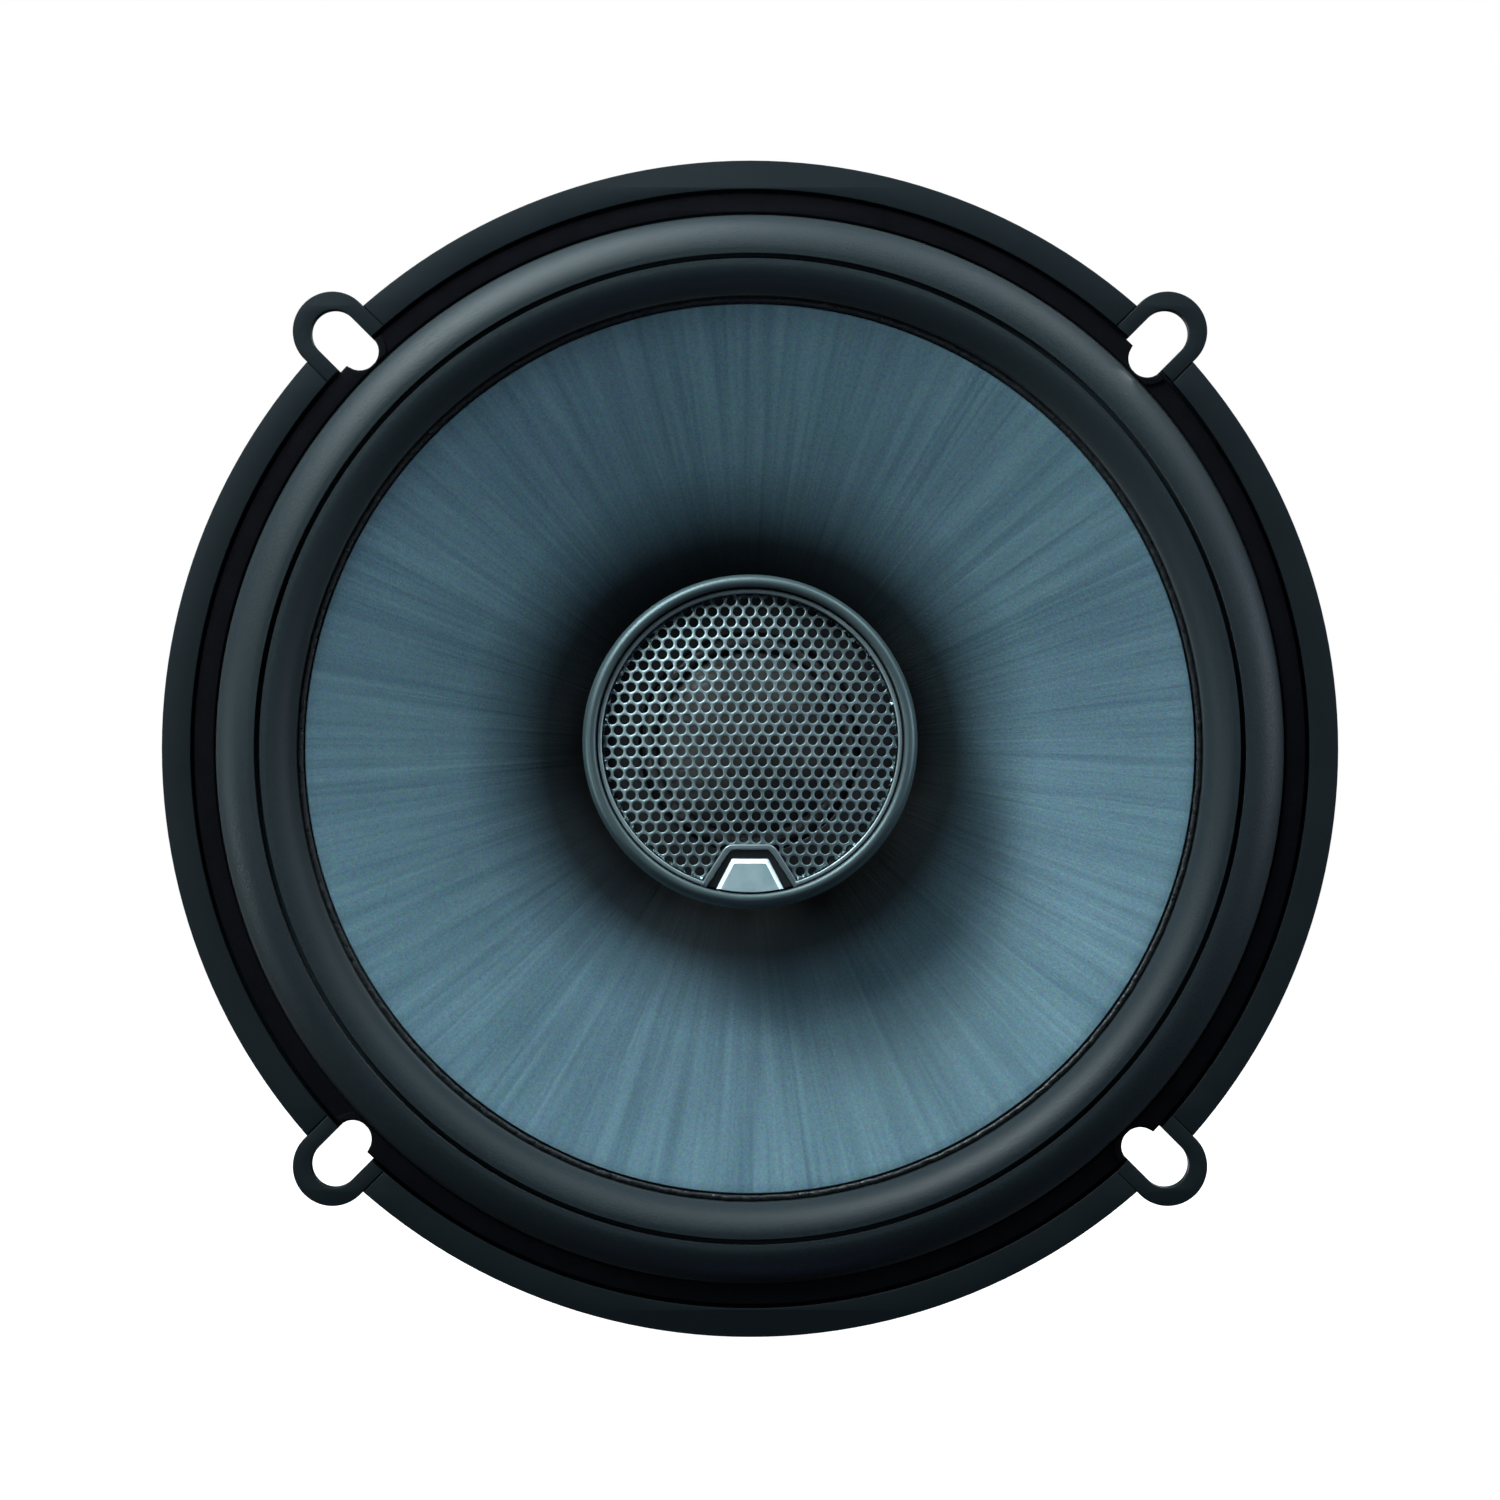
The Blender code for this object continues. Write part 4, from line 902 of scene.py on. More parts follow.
def makeWinding(dims, place, body):
    # rows of wire show as fine ridges
    low, high = dims["span"]
    count = int((high - low) / dims["wire"])
    outline = [(dims["inner"], high), (dims["inner"], low)]
    step = (high - low) / count
    for i in range(count):
        for share, lift in ((0.15, 0.0), (0.5, 1.0), (0.85, 0.0)):
            outline.append((dims["outer"] - 0.1 + 0.1 * lift, low + (i + share) * step))
    item = makePiece(nameOf(dims["node"]), turnedShape(outline, 120), looks["copperWire"], place, sharp=30)
    return fit(item, body, dims["node"])


makeWinding(windingDims, speakerPlace, "cone")

yokeDims = {"pole": 16.9, "poleTop": -34.2, "plate": 37.5, "plateTop": -52.5, "bore": 5.2, "well": 8.5,
            "wellTop": -54.0, "edge": 0.5}
bootDims = {"inner": 41.3, "hole": 9.2, "wall": 1.3, "corner": 2.6, "ribs": 96, "ribDepth": 0.35,
            "grooves": (16, 22, 28, 34)}


def makeYoke(dims):
    low = spanOf("yoke")[1]
    outline = [(dims["bore"], dims["poleTop"]), (dims["pole"], dims["poleTop"]),
               (dims["pole"], dims["plateTop"]),
               (dims["plate"], dims["plateTop"]), (dims["plate"], low), (dims["well"], low),
               (dims["well"], dims["wellTop"]), (dims["bore"], dims["wellTop"])]
    shape = turnedShape(rounded(outline, dims["edge"], 3), 160)
    return fit(makePiece("yoke", shape, looks["zincPlate"]), "frame", "yoke")


def makeBoot(dims):
    # a rubber cup: shallow flutes round its side and grooves in its back
    outer, low, top = spanOf("magnet_boot")
    inner = dims["inner"]
    outline = [(inner, low + dims["wall"]), (inner, top), (outer, top), (outer, low)]
    for groove in sorted(dims["grooves"], reverse=True):
        outline += [(groove + 0.9, low), (groove + 0.5, low + 0.4), (groove - 0.5, low + 0.4),
                    (groove - 0.9, low)]
    outline += [(dims["hole"], low), (dims["hole"], low + dims["wall"])]
    outline = rounded(outline, 0.5, 2)
    corner = [i for i, p in enumerate(outline) if p[0] > outer - 0.6 and p[1] < low + 0.6]
    bend = quadCurve((outer, low + dims["corner"]), (outer, low), (outer - dims["corner"], low), 8)
    outline = outline[:corner[0]] + bend + outline[corner[-1] + 1:]
    fine = []
    for a, b in zip(outline, outline[1:] + outline[:1]):
        parts = 8 if abs(a[1] - b[1]) > 8 else 1
        fine += [(a[0] + (b[0] - a[0]) * k / parts, a[1] + (b[1] - a[1]) * k / parts) for k in range(parts)]
    verts, faces = turnedShape(fine, dims["ribs"] * 6)
    out = []
    for x, y, h in verts:
        r = math.hypot(x, y)
        t = math.atan2(y, x)
        share = min(1.0, max(0.0, (h - low - 3.5) / 1.5)) * min(1.0, max(0.0, (top - 2.2 - h) / 1.5))
        if r > outer - 0.4 and share > 0:
            r -= dims["ribDepth"] * share * (0.5 - 0.5 * math.cos(dims["ribs"] * t)) ** 2
        out.append((r * math.cos(t), r * math.sin(t), h))
    return fit(makePiece("magnetBoot", (out, faces), looks["bootRubber"]), "frame", "magnet_boot")


makeYoke(yokeDims)
makeBoot(bootDims)

rivetDims = {"pitch": 30.0, "head": 2.7, "shank": 1.4, "seat": -32.9, "rise": 1.3, "deep": 3.6}


def rivetShape(head, shank, seat, rise, deep):
    profile = [(0, seat + rise), (head * 0.35, seat + rise * 0.96), (head * 0.7, seat + rise * 0.72),
               (head * 0.93, seat + rise * 0.35), (head, seat), (shank, seat), (shank, seat - deep),
               (0, seat - deep)]
    return turnedShape(profile, 40)


def makeRivets(dims):
    rivet = rivetShape(*(dims[key] for key in ("head", "shank", "seat", "rise", "deep")))
    for k in range(4):
        shape = moved(rivet, Matrix.Translation((*around(dims["pitch"], 45 + 90 * k), 0)))
        fit(makePiece(f"basketRivet{k + 1}", shape, looks["zincPlate"]), "frame", f"basket_rivet_{k + 1}")


makeRivets(rivetDims)
print("motor done")

# post, nut and swivel
postDims = {"bore": 2.2, "shaft": 4.0, "collar": 9.0, "collarSpan": (-34.0, -31.2), "column": 8.0,
            "columnSpan": (-30.6, -11.7), "spindle": 4.2}
nutDims = {"across": 6.35, "hole": 4.1, "edge": 0.3}
swivelDims = {"bore": 4.5, "outer": 9.0, "top": -7.6, "pivot": -3.2, "earMiddle": 7.3, "earHalf": 1.1,
              "earRadius": 2.7, "pin": 1.2, "pinHalf": 8.7}


def makePost(dims):
    low, top = spanOf("tweeter_post")[1:]
    bore, shaft, collar = dims["bore"], dims["shaft"], dims["collar"]
    column, spindle = dims["column"], dims["spindle"]
    (seat, collarTop), (columnLow, columnTop) = dims["collarSpan"], dims["columnSpan"]
    profile = [(bore, low), (bore, top), (spindle, top), (spindle, columnTop), (column, columnTop),
               (column, columnLow), (collar, collarTop), (collar, seat), (shaft, seat), (shaft, low)]
    return fit(makePiece("tweeterPost", turnedShape(rounded(profile, 0.45, 3), 128), looks["blackPlastic"]),
               "frame", "tweeter_post")


def makeNut(dims):
    back, front = spanOf("post_nut")[1:]
    hexagon = [around(dims["across"], 60 * k) for k in range(6)]
    shape = plateShape([rounded(hexagon, 0.6, 3), circlePoints((0, 0), dims["hole"], 48)], back, front,
                       dims["edge"])
    return fit(makePiece("postNut", shape, looks["zincPlate"]), "frame", "post_nut")


# lays a plate on its side: its thickness runs along X, and its own Y points forward
sideways = Matrix(((0, 0, 1, 0), (1, 0, 0, 0), (0, 1, 0, 0), (0, 0, 0, 1)))


def makeSwivel(dims):
    low, top = spanOf("swivel_collar")[1], dims["top"]
    hub = [(dims["bore"], low), (dims["bore"], top), (dims["outer"], top), (dims["outer"], low)]
    hub = turnedShape(rounded(hub, 0.4, 3), 128)
    foot = top - dims["pivot"] - 0.6
    r, middle, half = dims["earRadius"], dims["earMiddle"], dims["earHalf"]
    outline = [(-r - 1.2, foot), (r + 1.2, foot), (r, -2.0)] + arcPoints((0, 0), r, 0, 180, 24) + [(-r, -2.0)]
    hole = circlePoints((0, 0), dims["pin"] + 0.05, 32)
    ears = [moved(plateShape([outline, hole], side * middle - half, side * middle + half, 0.25),
                  Matrix.Translation((0, 0, dims["pivot"])) @ sideways) for side in (-1, 1)]
    item = makePiece("swivelCollar", merged(hub, *ears), looks["blackPlastic"])
    return fit(item, "swivel", "swivel_collar")


def makePin(dims):
    half, r = dims["pinHalf"], dims["pin"]
    profile = [(0, -half), (r * 0.8, -half), (r, -half + 0.25), (r, half - 0.25), (r * 0.8, half), (0, half)]
    shape = moved(turnedShape(profile, 40), Matrix.Rotation(math.radians(90), 4, "Y"))
    return fit(makePiece("tiltPin", shape, looks["zincPlate"], pivotPlace), "swivel", "tilt_pin")


makePost(postDims)
makeNut(nutDims)
makeSwivel(swivelDims)
makePin(swivelDims)

# tweeter: housing, bezel, perforated dome, badge and the small motor
housingDims = {"profile": ((0, 4.5), (15.1, 4.5), (15.1, 8.7), (21.4, 8.7), (21.4, 10.9), (23.1, 10.9),
                           (23.1, 7.2), (22.3, 6.2), (16.6, 6.2), (16.2, 3.9), (15.4, 3.2), (0, 3.2)),
               "knuckle": 2.7, "knuckleHalf": 5.85, "bore": 1.35}
bezelDims = {"inner": 21.5, "low": 11.0, "top": 14.2, "outer": 23.4}
grilleDims = {"radius": 20.45, "top": 13.8, "sphere": 95.7, "pitch": 1.75, "thickness": 0.4,
              "rim": ((0.73, 0.0), (0.695, -0.02), (0.665, -0.09)), "sides": 24}


def makeHousing(dims):
    shell = turnedShape(rounded(dims["profile"], 0.5, 3), 192)
    r, half = dims["knuckle"], dims["knuckleHalf"]
    outline = arcPoints((0, 0), r, 180, 360, 24) + [(r, 3.0), (-r, 3.0)]
    hole = circlePoints((0, 0), dims["bore"], 32)
    knuckle = moved(plateShape([outline, hole], -half, half, 0.25), sideways)
    return fit(makePiece("tweeterHousing", merged(shell, knuckle), looks["blackPlastic"], tweeterPlace),
               "tweeter", "tweeter_housing")


def makeBezel(dims):
    # a rolled ring: upright inner wall, round crown, long slope outside
    inner, low, top, outer = (dims[key] for key in ("inner", "low", "top", "outer"))
    crown = quadCurve((inner, top - 0.75), (inner, top), (inner + 0.8, top), 8)
    slope = quadCurve((inner + 0.8, top), (outer - 0.1, top - 0.1), (outer, top - 2.2), 10)
    profile = [(inner, low)] + crown + slope[1:] + [(outer, low)]
    item = makePiece("tweeterBezel", turnedShape(profile, 256), looks["bezelLacquer"], tweeterPlace, sharp=50)
    item.data.materials.append(looks["blackPlastic"])
    back = tweeterPlace.inverted()
    for face in item.data.polygons:
        spot = back @ face.center
        face.material_index = 1 if math.hypot(spot.x, spot.y) / mm < inner + 0.12 else 0
    return fit(item, "tweeter", "tweeter_bezel")


def domeHeight(r, dims):
    return dims["top"] - r * r / (2 * dims["sphere"])


def makeGrille(dims):
    # one cell for every hole, in staggered rows; cells over the edge are trimmed to it
    pitch, sides, edge = dims["pitch"], dims["sides"], dims["radius"]
    turns = np.arange(sides) * 2 * math.pi / sides
    folded = (turns + math.pi / 6) % (math.pi / 3) - math.pi / 6
    unit = np.stack([np.cos(turns), np.sin(turns)], 1)
    cell = unit * (pitch / 2 / np.cos(folded))[:, None]
    circles = [(cell, 0.0)] + [(unit * r, drop) for r, drop in dims["rim"]]
    verts, faces = [], []
    row = pitch * math.sqrt(3) / 2
    reach = int(edge / row) + 2
    for j in range(-reach, reach + 1):
        for i in range(-reach, reach + 1):
            centre = np.array([(i + 0.5 * (j % 2)) * pitch, j * row])
            if np.hypot(*centre) > edge + pitch * 0.6:
                continue
            start = len(verts)
            for points, drop in circles:
                spots = points + centre
                far = np.hypot(spots[:, 0], spots[:, 1])
                over = far > edge
                spots[over] *= (edge / far[over])[:, None]
                heights = domeHeight(np.minimum(far, edge), dims) + np.where(over, 0.0, drop)
                verts += [tuple(v) for v in np.column_stack([spots, heights])]
            for ring in range(len(circles) - 1):
                a, b = start + ring * sides, start + (ring + 1) * sides
                faces += [(a + k, a + (k + 1) % sides, b + (k + 1) % sides, b + k) for k in range(sides)]
    item = makePiece("tweeterGrille", (verts, faces), looks["grilleSheet"], tweeterPlace, keepSides=True)
    solid = item.modifiers.new("sheet", "SOLIDIFY")
    solid.thickness, solid.offset = dims["thickness"] * mm, -1
    settled(item, 45)
    return fit(item, "tweeter", "tweeter_grille")


# outlines: half width at the top and at the bottom, top, corner radius, radius of the bowed lower edge
badgeDims = {
    "seat": -18.0, "frameOuter": (3.26, 6.87, -14.36, 1.7, 21.25),
    "frameInner": (2.77, 6.14, -15.01, 1.2, 21.25),
    "base": (2.68, 5.94, -15.12, 1.15, 21.05), "plate": (2.55, 4.69, -16.38, 0.35, 21.1),
    "plateFace": (2.2, 4.08, -16.92, 0.2, 20.95), "plateHeights": (0.5, 0.82, 1.3),
    "lip": ((20.7, 11.6), (20.7, 13.1), (21.3, 13.1), (21.3, 11.6)), "lipEnd": (6.5, 20.3), "lipSteps": 220,
}


def badgeOutline(halfTop, halfLow, top, corner, bow, count=10):
    # a trapezium that widens downwards, with round upper corners and a bowed lower edge
    lowY = -math.sqrt(bow * bow - halfLow * halfLow)
    lean = math.atan2(halfLow - halfTop, top - lowY)
    centreX = halfTop - corner * math.tan((math.pi / 2 - lean) / 2)
    start, end = (math.degrees(math.atan2(lowY, x)) for x in (halfLow, -halfLow))
    out = arcPoints((centreX, top - corner), corner, 90, math.degrees(lean), count)
    out += arcPoints((0, 0), bow, start, end, 24)
    out += arcPoints((-centreX, top - corner), corner, 180 - math.degrees(lean), 90, count)
    return [(x, y - badgeDims["seat"]) for x, y in out]


def openFrame(dims):
    # the raised line round the badge: a band that is open at the bottom
    outer, inner = badgeOutline(*dims["frameOuter"]), badgeOutline(*dims["frameInner"])
    right, left = 12, 35  # the points between these two are the bowed lower edge
    return outer[left:] + outer[:right] + inner[:right][::-1] + inner[left:][::-1]


def badgeShape(dims):
    # flat face with a slope along its top and sides, the slope painted lighter as a painted highlight
    rings = list(zip((badgeOutline(*dims[key]) for key in ("plate", "plate", "plateFace")),
                     dims["plateHeights"]))
    count = len(rings[0][0])
    verts = [(x, y, height) for outline, height in rings for x, y in outline]
    faces = [(k * count + i, k * count + (i + 1) % count, (k + 1) * count + (i + 1) % count,
              (k + 1) * count + i)
             for k in range(2) for i in range(count)]
    return verts, faces + [tuple(range(count)), tuple(2 * count + i for i in range(count))[::-1]]


def lipShape(dims):
    # the bezel's inner lip, open where the badge's frame meets it
    start = math.degrees(math.atan2(*dims["lipEnd"]))
    profile = rounded(dims["lip"], 0.2, 3)
    steps, n = dims["lipSteps"], len(profile)
    verts, faces = [], []
    for t in np.radians(np.linspace(-90 + start, 270 - start, steps)):
        verts += [(r * math.cos(t), r * math.sin(t), h) for r, h in profile]
    for i in range(steps - 1):
        faces += [(i * n + k, i * n + (k + 1) % n, (i + 1) * n + (k + 1) % n, (i + 1) * n + k)
                  for k in range(n)]
    return verts, faces + [tuple(range(n)), tuple((steps - 1) * n + k for k in range(n))[::-1]]


def makeBadge(dims):
    slope = math.atan2(-dims["seat"], grilleDims["sphere"])
    seat = (Matrix.Translation((0, dims["seat"], domeHeight(dims["seat"], grilleDims)))
            @ Matrix.Rotation(slope, 4, "X"))
    line = moved(plateShape([openFrame(dims)], 0.3, 1.2, 0.14, 3), seat)
    fit(makePiece("grilleFrame", merged(lipShape(dims), line), looks["frameLacquer"], tweeterPlace),
        "tweeter", "grille_frame")
    base = moved(plateShape([badgeOutline(*dims["base"])], 0.06, 0.5, 0.08), seat)
    fit(makePiece("badgeBase", base, looks["blackPlastic"], tweeterPlace), "tweeter", "badge_base")
    plate = makePiece("badgePlate", moved(badgeShape(dims), seat), looks["badgeSatin"], tweeterPlace,
                      sharp=20)
    # the sloped faces take the lighter colour: a painted highlight
    plate.data.materials.append(looks["badgeSlopeHighlight"])
    up = (tweeterPlace.to_3x3() @ seat.to_3x3() @ Vector((0, 0, 1))).normalized()
    for face in plate.data.polygons:
        face.material_index = 0 if face.normal.dot(up) > 0.99 else 1
    fit(plate, "tweeter", "badge_plate")


makeHousing(housingDims)
makeBezel(bezelDims)
makeGrille(grilleDims)
makeBadge(badgeDims)

tweeterRings = {
    "tweeter_face_ring": {"outline": ((15.5, 8.85), (15.5, 9.7), (21.1, 9.7), (21.1, 8.85)), "edge": 0.2,
                          "look": "blackPlastic"},
    "tweeter_cup": {"outline": ((0, 5.4), (13.4, 5.4), (13.4, 8.5), (14.8, 8.5), (14.8, 4.65), (0, 4.65)),
                    "edge": 0.3, "look": "zincPlate"},
    "tweeter_magnet": {"outline": ((0, 7.4), (11.0, 7.4), (11.0, 5.5), (0, 5.5)), "edge": 0.2,
                       "look": "nickel"},
    "tweeter_pole_plate": {"outline": ((0, 8.5), (11.7, 8.5), (11.7, 7.5), (0, 7.5)), "edge": 0.15,
                           "look": "zincPlate"},
}


def makeTweeterRings(dims):
    for node, spec in dims.items():
        shape = turnedShape(rounded(spec["outline"], spec["edge"], 3), 144)
        fit(makePiece(nameOf(node), shape, looks[spec["look"]], tweeterPlace), "tweeter", node)


makeTweeterRings(tweeterRings)

domeDims = {"radius": 12.8, "base": 9.2, "height": 3.1, "thickness": 0.35}
rollDims = {"inner": 13.05, "outer": 15.0, "middle": 14.02, "level": 9.3, "half": (0.82, 0.72),
            "thickness": 0.28, "fixed": 14.9, "moving": 13.1}
coilDims = {"node": "tweeter_coil", "wire": 0.2, "inner": 12.25, "outer": 12.75, "span": (6.4, 8.7)}


def makeDome(dims):
    sphere = (dims["radius"] ** 2 + dims["height"] ** 2) / (2 * dims["height"])
    top = []
    for i in range(25):
        r = dims["radius"] * i / 24
        top.append((r, dims["base"] + dims["height"] - sphere + math.sqrt(sphere ** 2 - r * r)))
    under = [(r, h - dims["thickness"]) for r, h in top[::-1]]
    fit(makePiece("tweeterDome", turnedShape(top + under, 144), looks["domeSilk"], tweeterPlace, sharp=60),
        "dome", "tweeter_dome")


def makeRoll(dims):
    # the half-round roll that the dome hangs in
    (wide, high), level = dims["half"], dims["level"]
    line = [(dims["inner"], level)]
    line += [(dims["middle"] + wide * math.cos(t), level + high * math.sin(t))
             for t in np.radians(np.linspace(172, 8, 14))]
    line += [(dims["outer"], level)]
    shape = turnedShape(thickened(line, dims["thickness"]), 144)
    roll = makePiece("tweeterRoll", shape, looks["domeSilk"], tweeterPlace, sharp=60)
    back = tweeterPlace.inverted()
    local = pointsOf(roll) @ np.array(back.to_3x3()).T + np.array(back.translation)
    bendWith(roll, "tweeter_roll")


makeDome(domeDims)
makeRoll(rollDims)
makeWinding(coilDims, tweeterPlace, "dome")
print("tweeter done")

# terminal board on the left spoke, capacitor and leads
terminalDims = {"size": (22.0, 26.0), "low": 0.3, "thickness": 1.6, "corner": 2.0, "share": 0.45,
                "spokeOut": (73.7, -6.6), "spokeIn": (44.6, -25.6), "rivetAt": -4.5, "rivetHole": 1.35,
                "gap": 0.1, "bladeAt": (-9.6, 8.2), "bladeWidths": (4.8, 2.8), "bladeOut": 8.5,
                "bladeMetal": 0.8, "bladeFoot": 6.0, "bladeNose": (0.7, 1.3), "bladeHole": (3.2, 0.8)}
capacitorDims = {"radius": 4.0, "span": 15.0, "at": 4.5, "clear": 0.15, "strapClear": 0.2,
                 "strapMetal": 0.5, "strapFoot": 1.4, "strapHalf": 2.0}


def spokeSeat(dims):
    # stands on the left spoke: X runs in towards the motor, Z out of the spoke
    inner, outer = Vector(dims["spokeIn"]), Vector(dims["spokeOut"])
    foot = inner.lerp(outer, dims["share"])
    along = (outer - inner).normalized()
    inward, outward = Vector((along.x, along.y, 0)), Vector((-along.y, along.x, 0))
    place = Matrix((inward, outward.cross(inward), outward)).transposed().to_4x4()
    place.translation = Vector((-foot.x, -foot.y, 0)) * mm
    return place


def makeTerminals(dims, seat):
    wide, tall = dims["size"][0] / 2, dims["size"][1] / 2
    low, top = dims["low"], dims["low"] + dims["thickness"]
    corners = [(wide, tall), (-wide, tall), (-wide, -tall), (wide, -tall)]
    board = plateShape([rounded(corners, dims["corner"], 6, turned=False),
                        circlePoints((dims["rivetAt"], 0), dims["rivetHole"], 24)], low, top, 0.12)
    fit(makePiece("terminalBoard", board, looks["fibreBoard"], seat), "frame", "terminal_board")
    base = top + dims["gap"]
    rivet = moved(rivetShape(2.3, 1.15, base, 1.1, 3.9), Matrix.Translation((dims["rivetAt"], 0, 0)))
    fit(makePiece("boardRivet", rivet, looks["zincPlate"], seat), "frame", "board_rivet")
    out, length, metal = dims["bladeOut"], dims["bladeFoot"], dims["bladeMetal"]
    chamfer, shoulder = dims["bladeNose"]
    drop, radius = dims["bladeHole"]
    for word, side, width in zip(("positive", "negative"), (1, -1), dims["bladeWidths"]):
        x0, y0 = dims["bladeAt"][0], side * dims["bladeAt"][1]
        half = width / 2
        sole = rounded([(0, -half), (length, -half), (length, half), (0, half)], 0.6, 4, turned=False)
        foot = moved(plateShape([sole], 0.0, metal, 0.12), Matrix.Translation((x0, y0, base)))
        face = [(-half, 0), (half, 0), (half, out - shoulder), (half - chamfer, out), (-half + chamfer, out),
                (-half, out - shoulder)]
        outlines = [rounded(face, 0.35, 3, turned=False), circlePoints((0, out - drop), radius, 24)]
        stand = Matrix(((0, 0, 1, x0), (1, 0, 0, y0), (0, 1, 0, base), (0, 0, 0, 1)))
        blade = moved(plateShape(outlines, 0.0, metal, 0.15), stand)
        item = makePiece(f"terminal{word.capitalize()}", merged(foot, blade), looks["tinPlate"], seat)
        fit(item, "frame", f"terminal_{word}")


def makeCapacitor(dims, seat):
    # lies on the board with its axis across the spoke, under a strap
    radius, half = dims["radius"], dims["span"] / 2
    top = terminalDims["low"] + terminalDims["thickness"]
    lift = top + dims["clear"] + radius
    can = [(0, half - 0.35), (radius - 1.3, half - 0.35), (radius - 1.0, half), (radius - 0.35, half),
           (radius, half - 0.5), (radius, half - 1.6), (radius - 0.22, half - 2.0), (radius, half - 2.4),
           (radius, -half + 0.5), (radius - 0.35, -half), (0, -half)]
    lying = Matrix.Translation((dims["at"], 0, lift)) @ Matrix.Rotation(math.radians(90), 4, "X")
    sleeve = moved(turnedShape(rounded(can, 0.25, 2), 96), lying)
    fit(makePiece("crossoverCapacitor", sleeve, looks["capSleeve"], seat), "frame", "crossover_capacitor")
    metal = dims["strapMetal"]
    near, far = radius + dims["strapClear"], radius + dims["strapClear"] + metal
    foot, end = top - lift + terminalDims["gap"], far + dims["strapFoot"]
    strap = [(end, foot), (end, foot + metal), (far, foot + metal)] + arcPoints((0, 0), far, 0, 180, 40)
    strap += [(-far, foot + metal), (-end, foot + metal), (-end, foot), (-near, foot)]
    strap += arcPoints((0, 0), near, 180, 0, 40) + [(near, foot)]
    band = moved(plateShape([strap], -dims["strapHalf"], dims["strapHalf"], 0.1), lying)
    fit(makePiece("capacitorStrap", band, looks["zincPlate"], seat), "frame", "capacitor_strap")


boardPlace = spokeSeat(terminalDims)
makeTerminals(terminalDims, boardPlace)
makeCapacitor(capacitorDims, boardPlace)

# the routes are in the frame's own axes, in millimetres; side is +1 for the negative lead
leadDims = {"tinselRadius": 0.7, "strands": 4, "wireRadius": 0.75, "spin": 0.42}


def tinselRoute(side):
    route = [(-55.25, 18.75, 9.6 * side)]
    route += quadCurve((-53.85, 16.55, 9.6 * side), (-45.0, 24.0, 8.6 * side), (-37.55, 10.35, 6.2 * side), 7)
    return route + [(-36.5, 8.2, 6.05 * side)]


def wireRoute(side):
    route = [(-51.98, 23.28, 8.8 * side)]
    route += quadCurve((-53.05, 25.0, 8.8 * side), (-52.0, 30.0, 7.0 * side), (-44.6, 34.4, 4.4 * side), 5)
    return route + [(-41.2, 36.0, 2.7 * side), (-40.0, 36.9, 2.2 * side), (-39.7, 38.2, 2.0 * side)]


def spunRound(shape, path, turn):
    # turns one strand round the lead's own line
    sides = len(shape[0]) // len(path)
    out = []
    last = len(path) - 1
    for i, point in enumerate(path):
        along = (Vector(path[min(i + 1, last)]) - Vector(path[max(i - 1, 0)])).normalized()
        spin = Matrix.Rotation(turn, 3, along)
        out += [tuple(Vector(point) + spin @ (Vector(v) - Vector(point)))
                for v in shape[0][i * sides:(i + 1) * sides]]
    return out, shape[1]


def makeLeads(dims):
    still = Matrix.Identity(4)
    for word, side in (("positive", -1), ("negative", 1)):
        path = smoothPath(tinselRoute(side), 12)
        radius, count = dims["tinselRadius"], dims["strands"]
        strand = tubeShape(path, radius * 0.42, 8, dims["spin"], radius * 0.52)
        strands = [strand] + [spunRound(strand, path, 2 * math.pi * k / count) for k in range(1, count)]
        solderEnd = moved(turnedShape([(0, 0.9), (0.7, 0.7), (1.15, 0.0), (0.8, -0.5), (0, -0.6)], 24),
                          Matrix.Translation(path[0]))
        item = makePiece(f"tinselLead{word.capitalize()}", merged(*strands, solderEnd), looks["tinselBraid"],
                         still, sharp=60)
        co = pointsOf(item) / mm
        bendWith(item, f"tinsel_lead_{word}")
        look = looks["redWire"] if side < 0 else looks["blackWire"]
        wire = tubeShape(smoothPath(wireRoute(side), 8), dims["wireRadius"], 16)
        fit(makePiece(f"tweeterLead{word.capitalize()}", wire, look, still, sharp=60), "frame",
            f"tweeter_lead_{word}")


makeLeads(leadDims)
print("terminals and leads done")

# floor, light and camera
stageDims = {"floorSize": 8.0, "white": 1.0, "worldLight": 0.02, "worldTint": (0.62, 0.78, 1.0)}


def makeStage(dims):
    half = dims["floorSize"] / 2
    level = cadBox[0].z
    mesh = bpy.data.meshes.new("floor")
    corners = [(-half, -half, level), (half, -half, level), (half, half, level), (-half, half, level)]
    mesh.from_pydata(corners, [], [(0, 1, 2, 3)])
    floor = bpy.data.objects.new("floor", mesh)
    scene.collection.objects.link(floor)
    look = newLook("paleFloor", 0.0, 0.9, Specular_IOR_Level=0.0, Base_Color=(0.2, 0.2, 0.2, 1.0),
                   Emission_Color=(1.0, 1.0, 1.0, 1.0), Emission_Strength=dims["white"])[0]
    mesh.materials.append(look)
    floor.visible_diffuse = floor.visible_glossy = floor.visible_transmission = False
    world = bpy.data.worlds.new("studio")
    scene.world = world
    world.use_nodes = True
    tree = world.node_tree
    tree.nodes.clear()
    seen = addNode(tree, "ShaderNodeLightPath").outputs["Is Camera Ray"]
    lit, shown = (addNode(tree, "ShaderNodeBackground", {"Color": (*colour, 1.0), "Strength": strength})
                  for colour, strength in ((dims["worldTint"], dims["worldLight"]),
                                           ((1.0, 1.0, 1.0), dims["white"])))
    both = addNode(tree, "ShaderNodeMixShader", {0: seen, 1: lit.outputs[0], 2: shown.outputs[0]})
    addNode(tree, "ShaderNodeOutputWorld", {"Surface": both.outputs[0]})
    scene.view_settings.view_transform = "Standard"


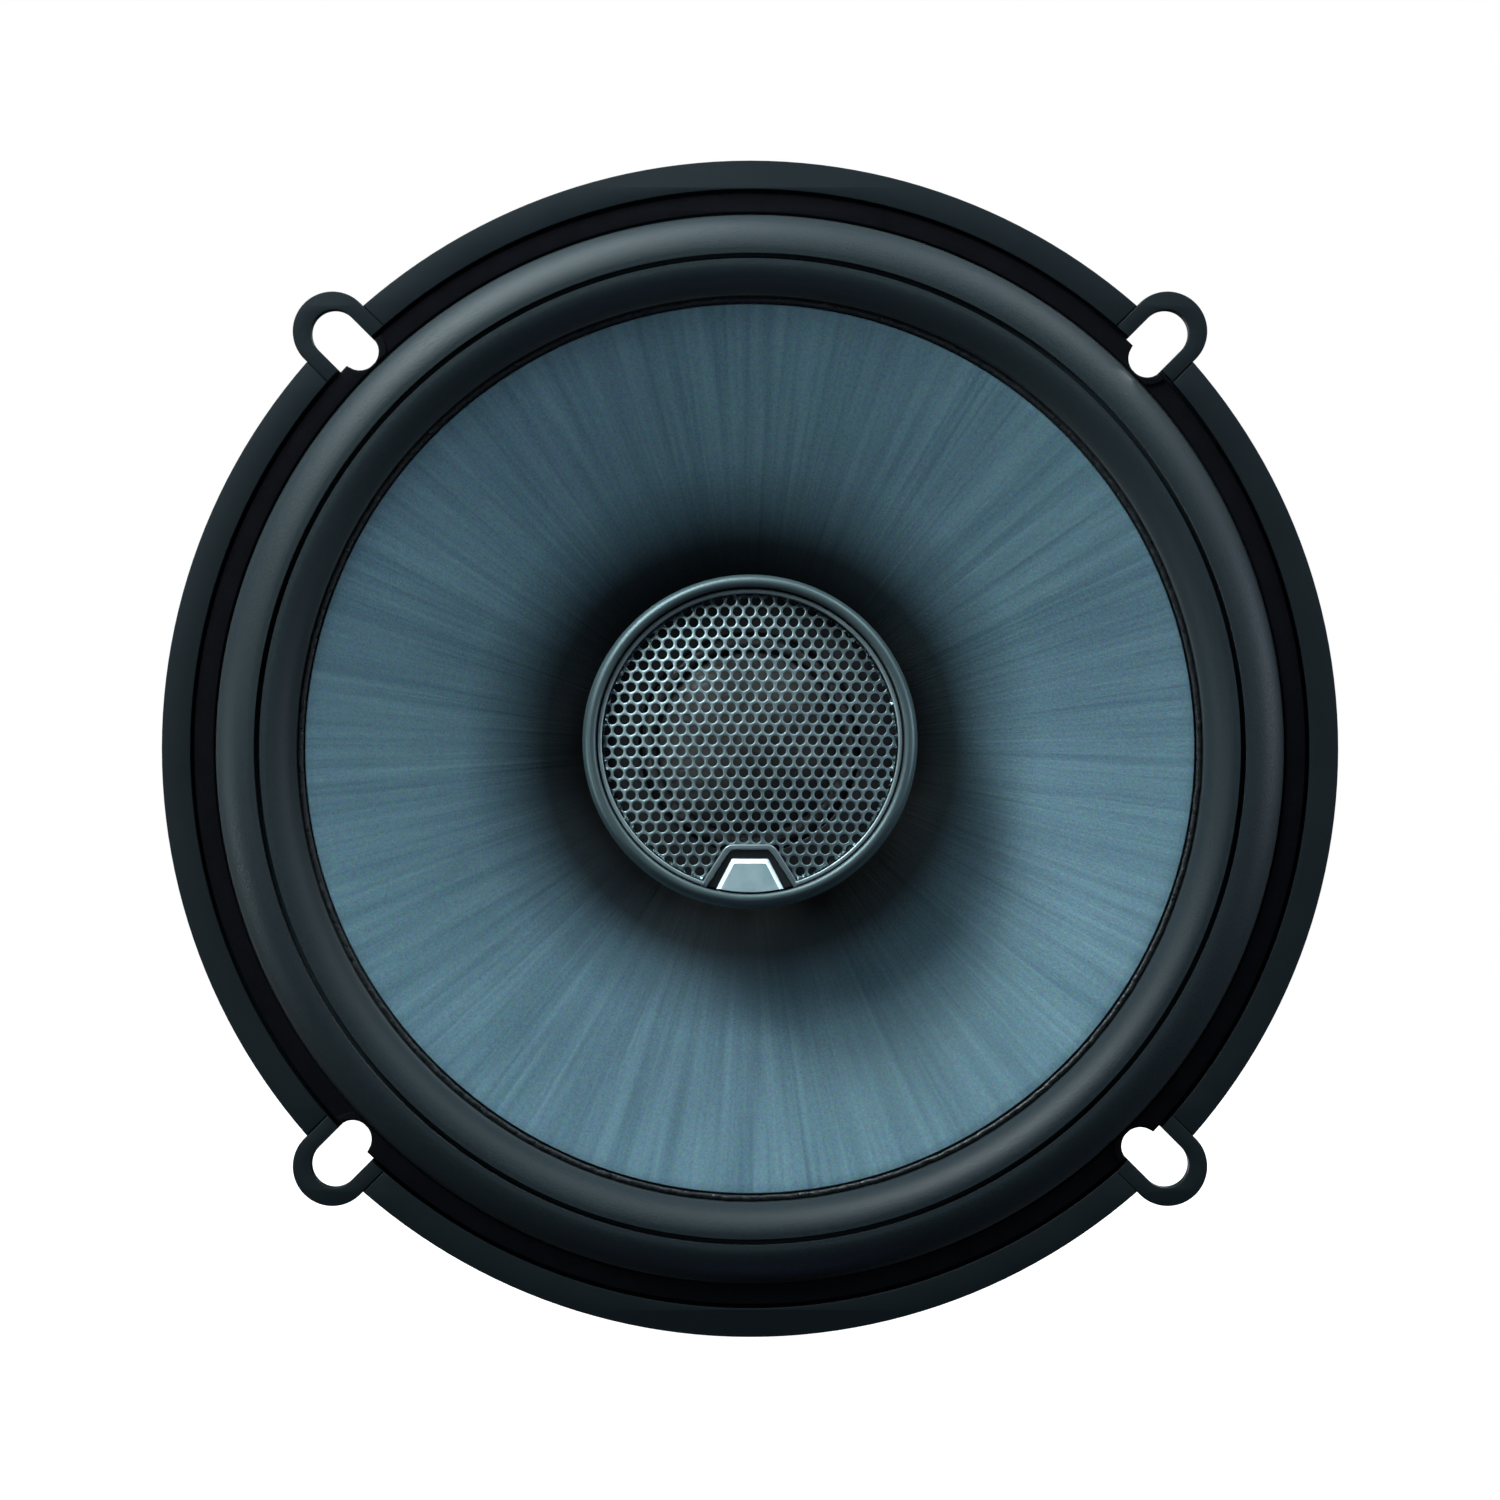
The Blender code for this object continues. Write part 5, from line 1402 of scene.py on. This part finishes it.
# bearing in the face's plane from +X and lift out of it towards the listener, in degrees;
# distance (0.5 where not given) and size in metres
lamps = {
    "keyLamp": {"bearing": 124, "lift": 27, "size": 0.17, "power": 3.1, "tint": (0.86, 0.98, 1.0)},
    "highLamp": {"bearing": 130, "lift": 42, "size": 0.16, "power": 0.8, "tint": (0.88, 0.98, 1.0)},
    "topLamp": {"bearing": 102, "lift": 12, "size": 0.18, "power": 2.4, "tint": (0.84, 0.97, 1.0)},
    "upperLeftLamp": {"bearing": 128, "lift": 12, "size": 0.18, "power": 1.7, "tint": (0.84, 0.97, 1.0)},
    "upperRightLamp": {"bearing": 56, "lift": 12, "size": 0.26, "power": 2.2, "tint": (0.84, 0.97, 1.0)},
    "rightLamp": {"bearing": 8, "lift": 10, "size": 0.18, "power": 1.4, "tint": (0.74, 0.86, 1.0)},
    "rightGlow": {"bearing": 2, "lift": 58, "size": 0.14, "power": 0.2, "tint": (0.70, 0.84, 1.0)},
    "leftGlow": {"bearing": 178, "lift": 58, "size": 0.14, "power": 0.2, "tint": (0.86, 0.98, 1.0)},
    "leftLamp": {"bearing": 188, "lift": 10, "size": 0.18, "power": 1.2, "tint": (0.82, 0.97, 1.0)},
    "lowLamp": {"bearing": 272, "lift": 15, "size": 0.18, "power": 0.16, "tint": (0.45, 0.48, 1.0)},
    "backLamp": {"bearing": 50, "lift": -40, "distance": 1.0, "size": 0.6, "power": 14.0,
                 "tint": (0.9, 0.96, 1.0)},
    "backFill": {"bearing": 190, "lift": -45, "distance": 1.0, "size": 0.6, "power": 9.0,
                 "tint": (0.9, 0.96, 1.0)},
}


def makeLamps(dims):
    for name, spec in dims.items():
        lamp = bpy.data.lights.new(name, "AREA")
        lamp.size, lamp.energy, lamp.color = spec["size"], spec["power"], spec["tint"]
        item = bpy.data.objects.new(name, lamp)
        bearing, lift = math.radians(spec["bearing"]), math.radians(spec["lift"])
        at = Vector((math.cos(lift) * math.cos(bearing), -math.sin(lift), math.cos(lift) * math.sin(bearing)))
        item.location = at * spec.get("distance", 0.5)
        item.rotation_euler = (-at).to_track_quat("-Z", "Y").to_euler()
        item.visible_camera = False
        scene.collection.objects.link(item)


cameraDims = {"lens": 180.0, "distance": 1.0517, "lower": 0.00017}


def makeCamera(dims):
    lens = bpy.data.cameras.new("camera")
    lens.lens, lens.sensor_width, lens.clip_end = dims["lens"], 36.0, 50.0
    item = bpy.data.objects.new("camera", lens)
    item.location = (0.0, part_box("mounting_ring")[0].y - dims["distance"], -dims["lower"])
    item.rotation_euler = (math.radians(90), 0.0, 0.0)
    scene.collection.objects.link(item)
    scene.camera = item


makeStage(stageDims)
makeLamps(lamps)
makeCamera(cameraDims)
print("stage, lamps and camera done")
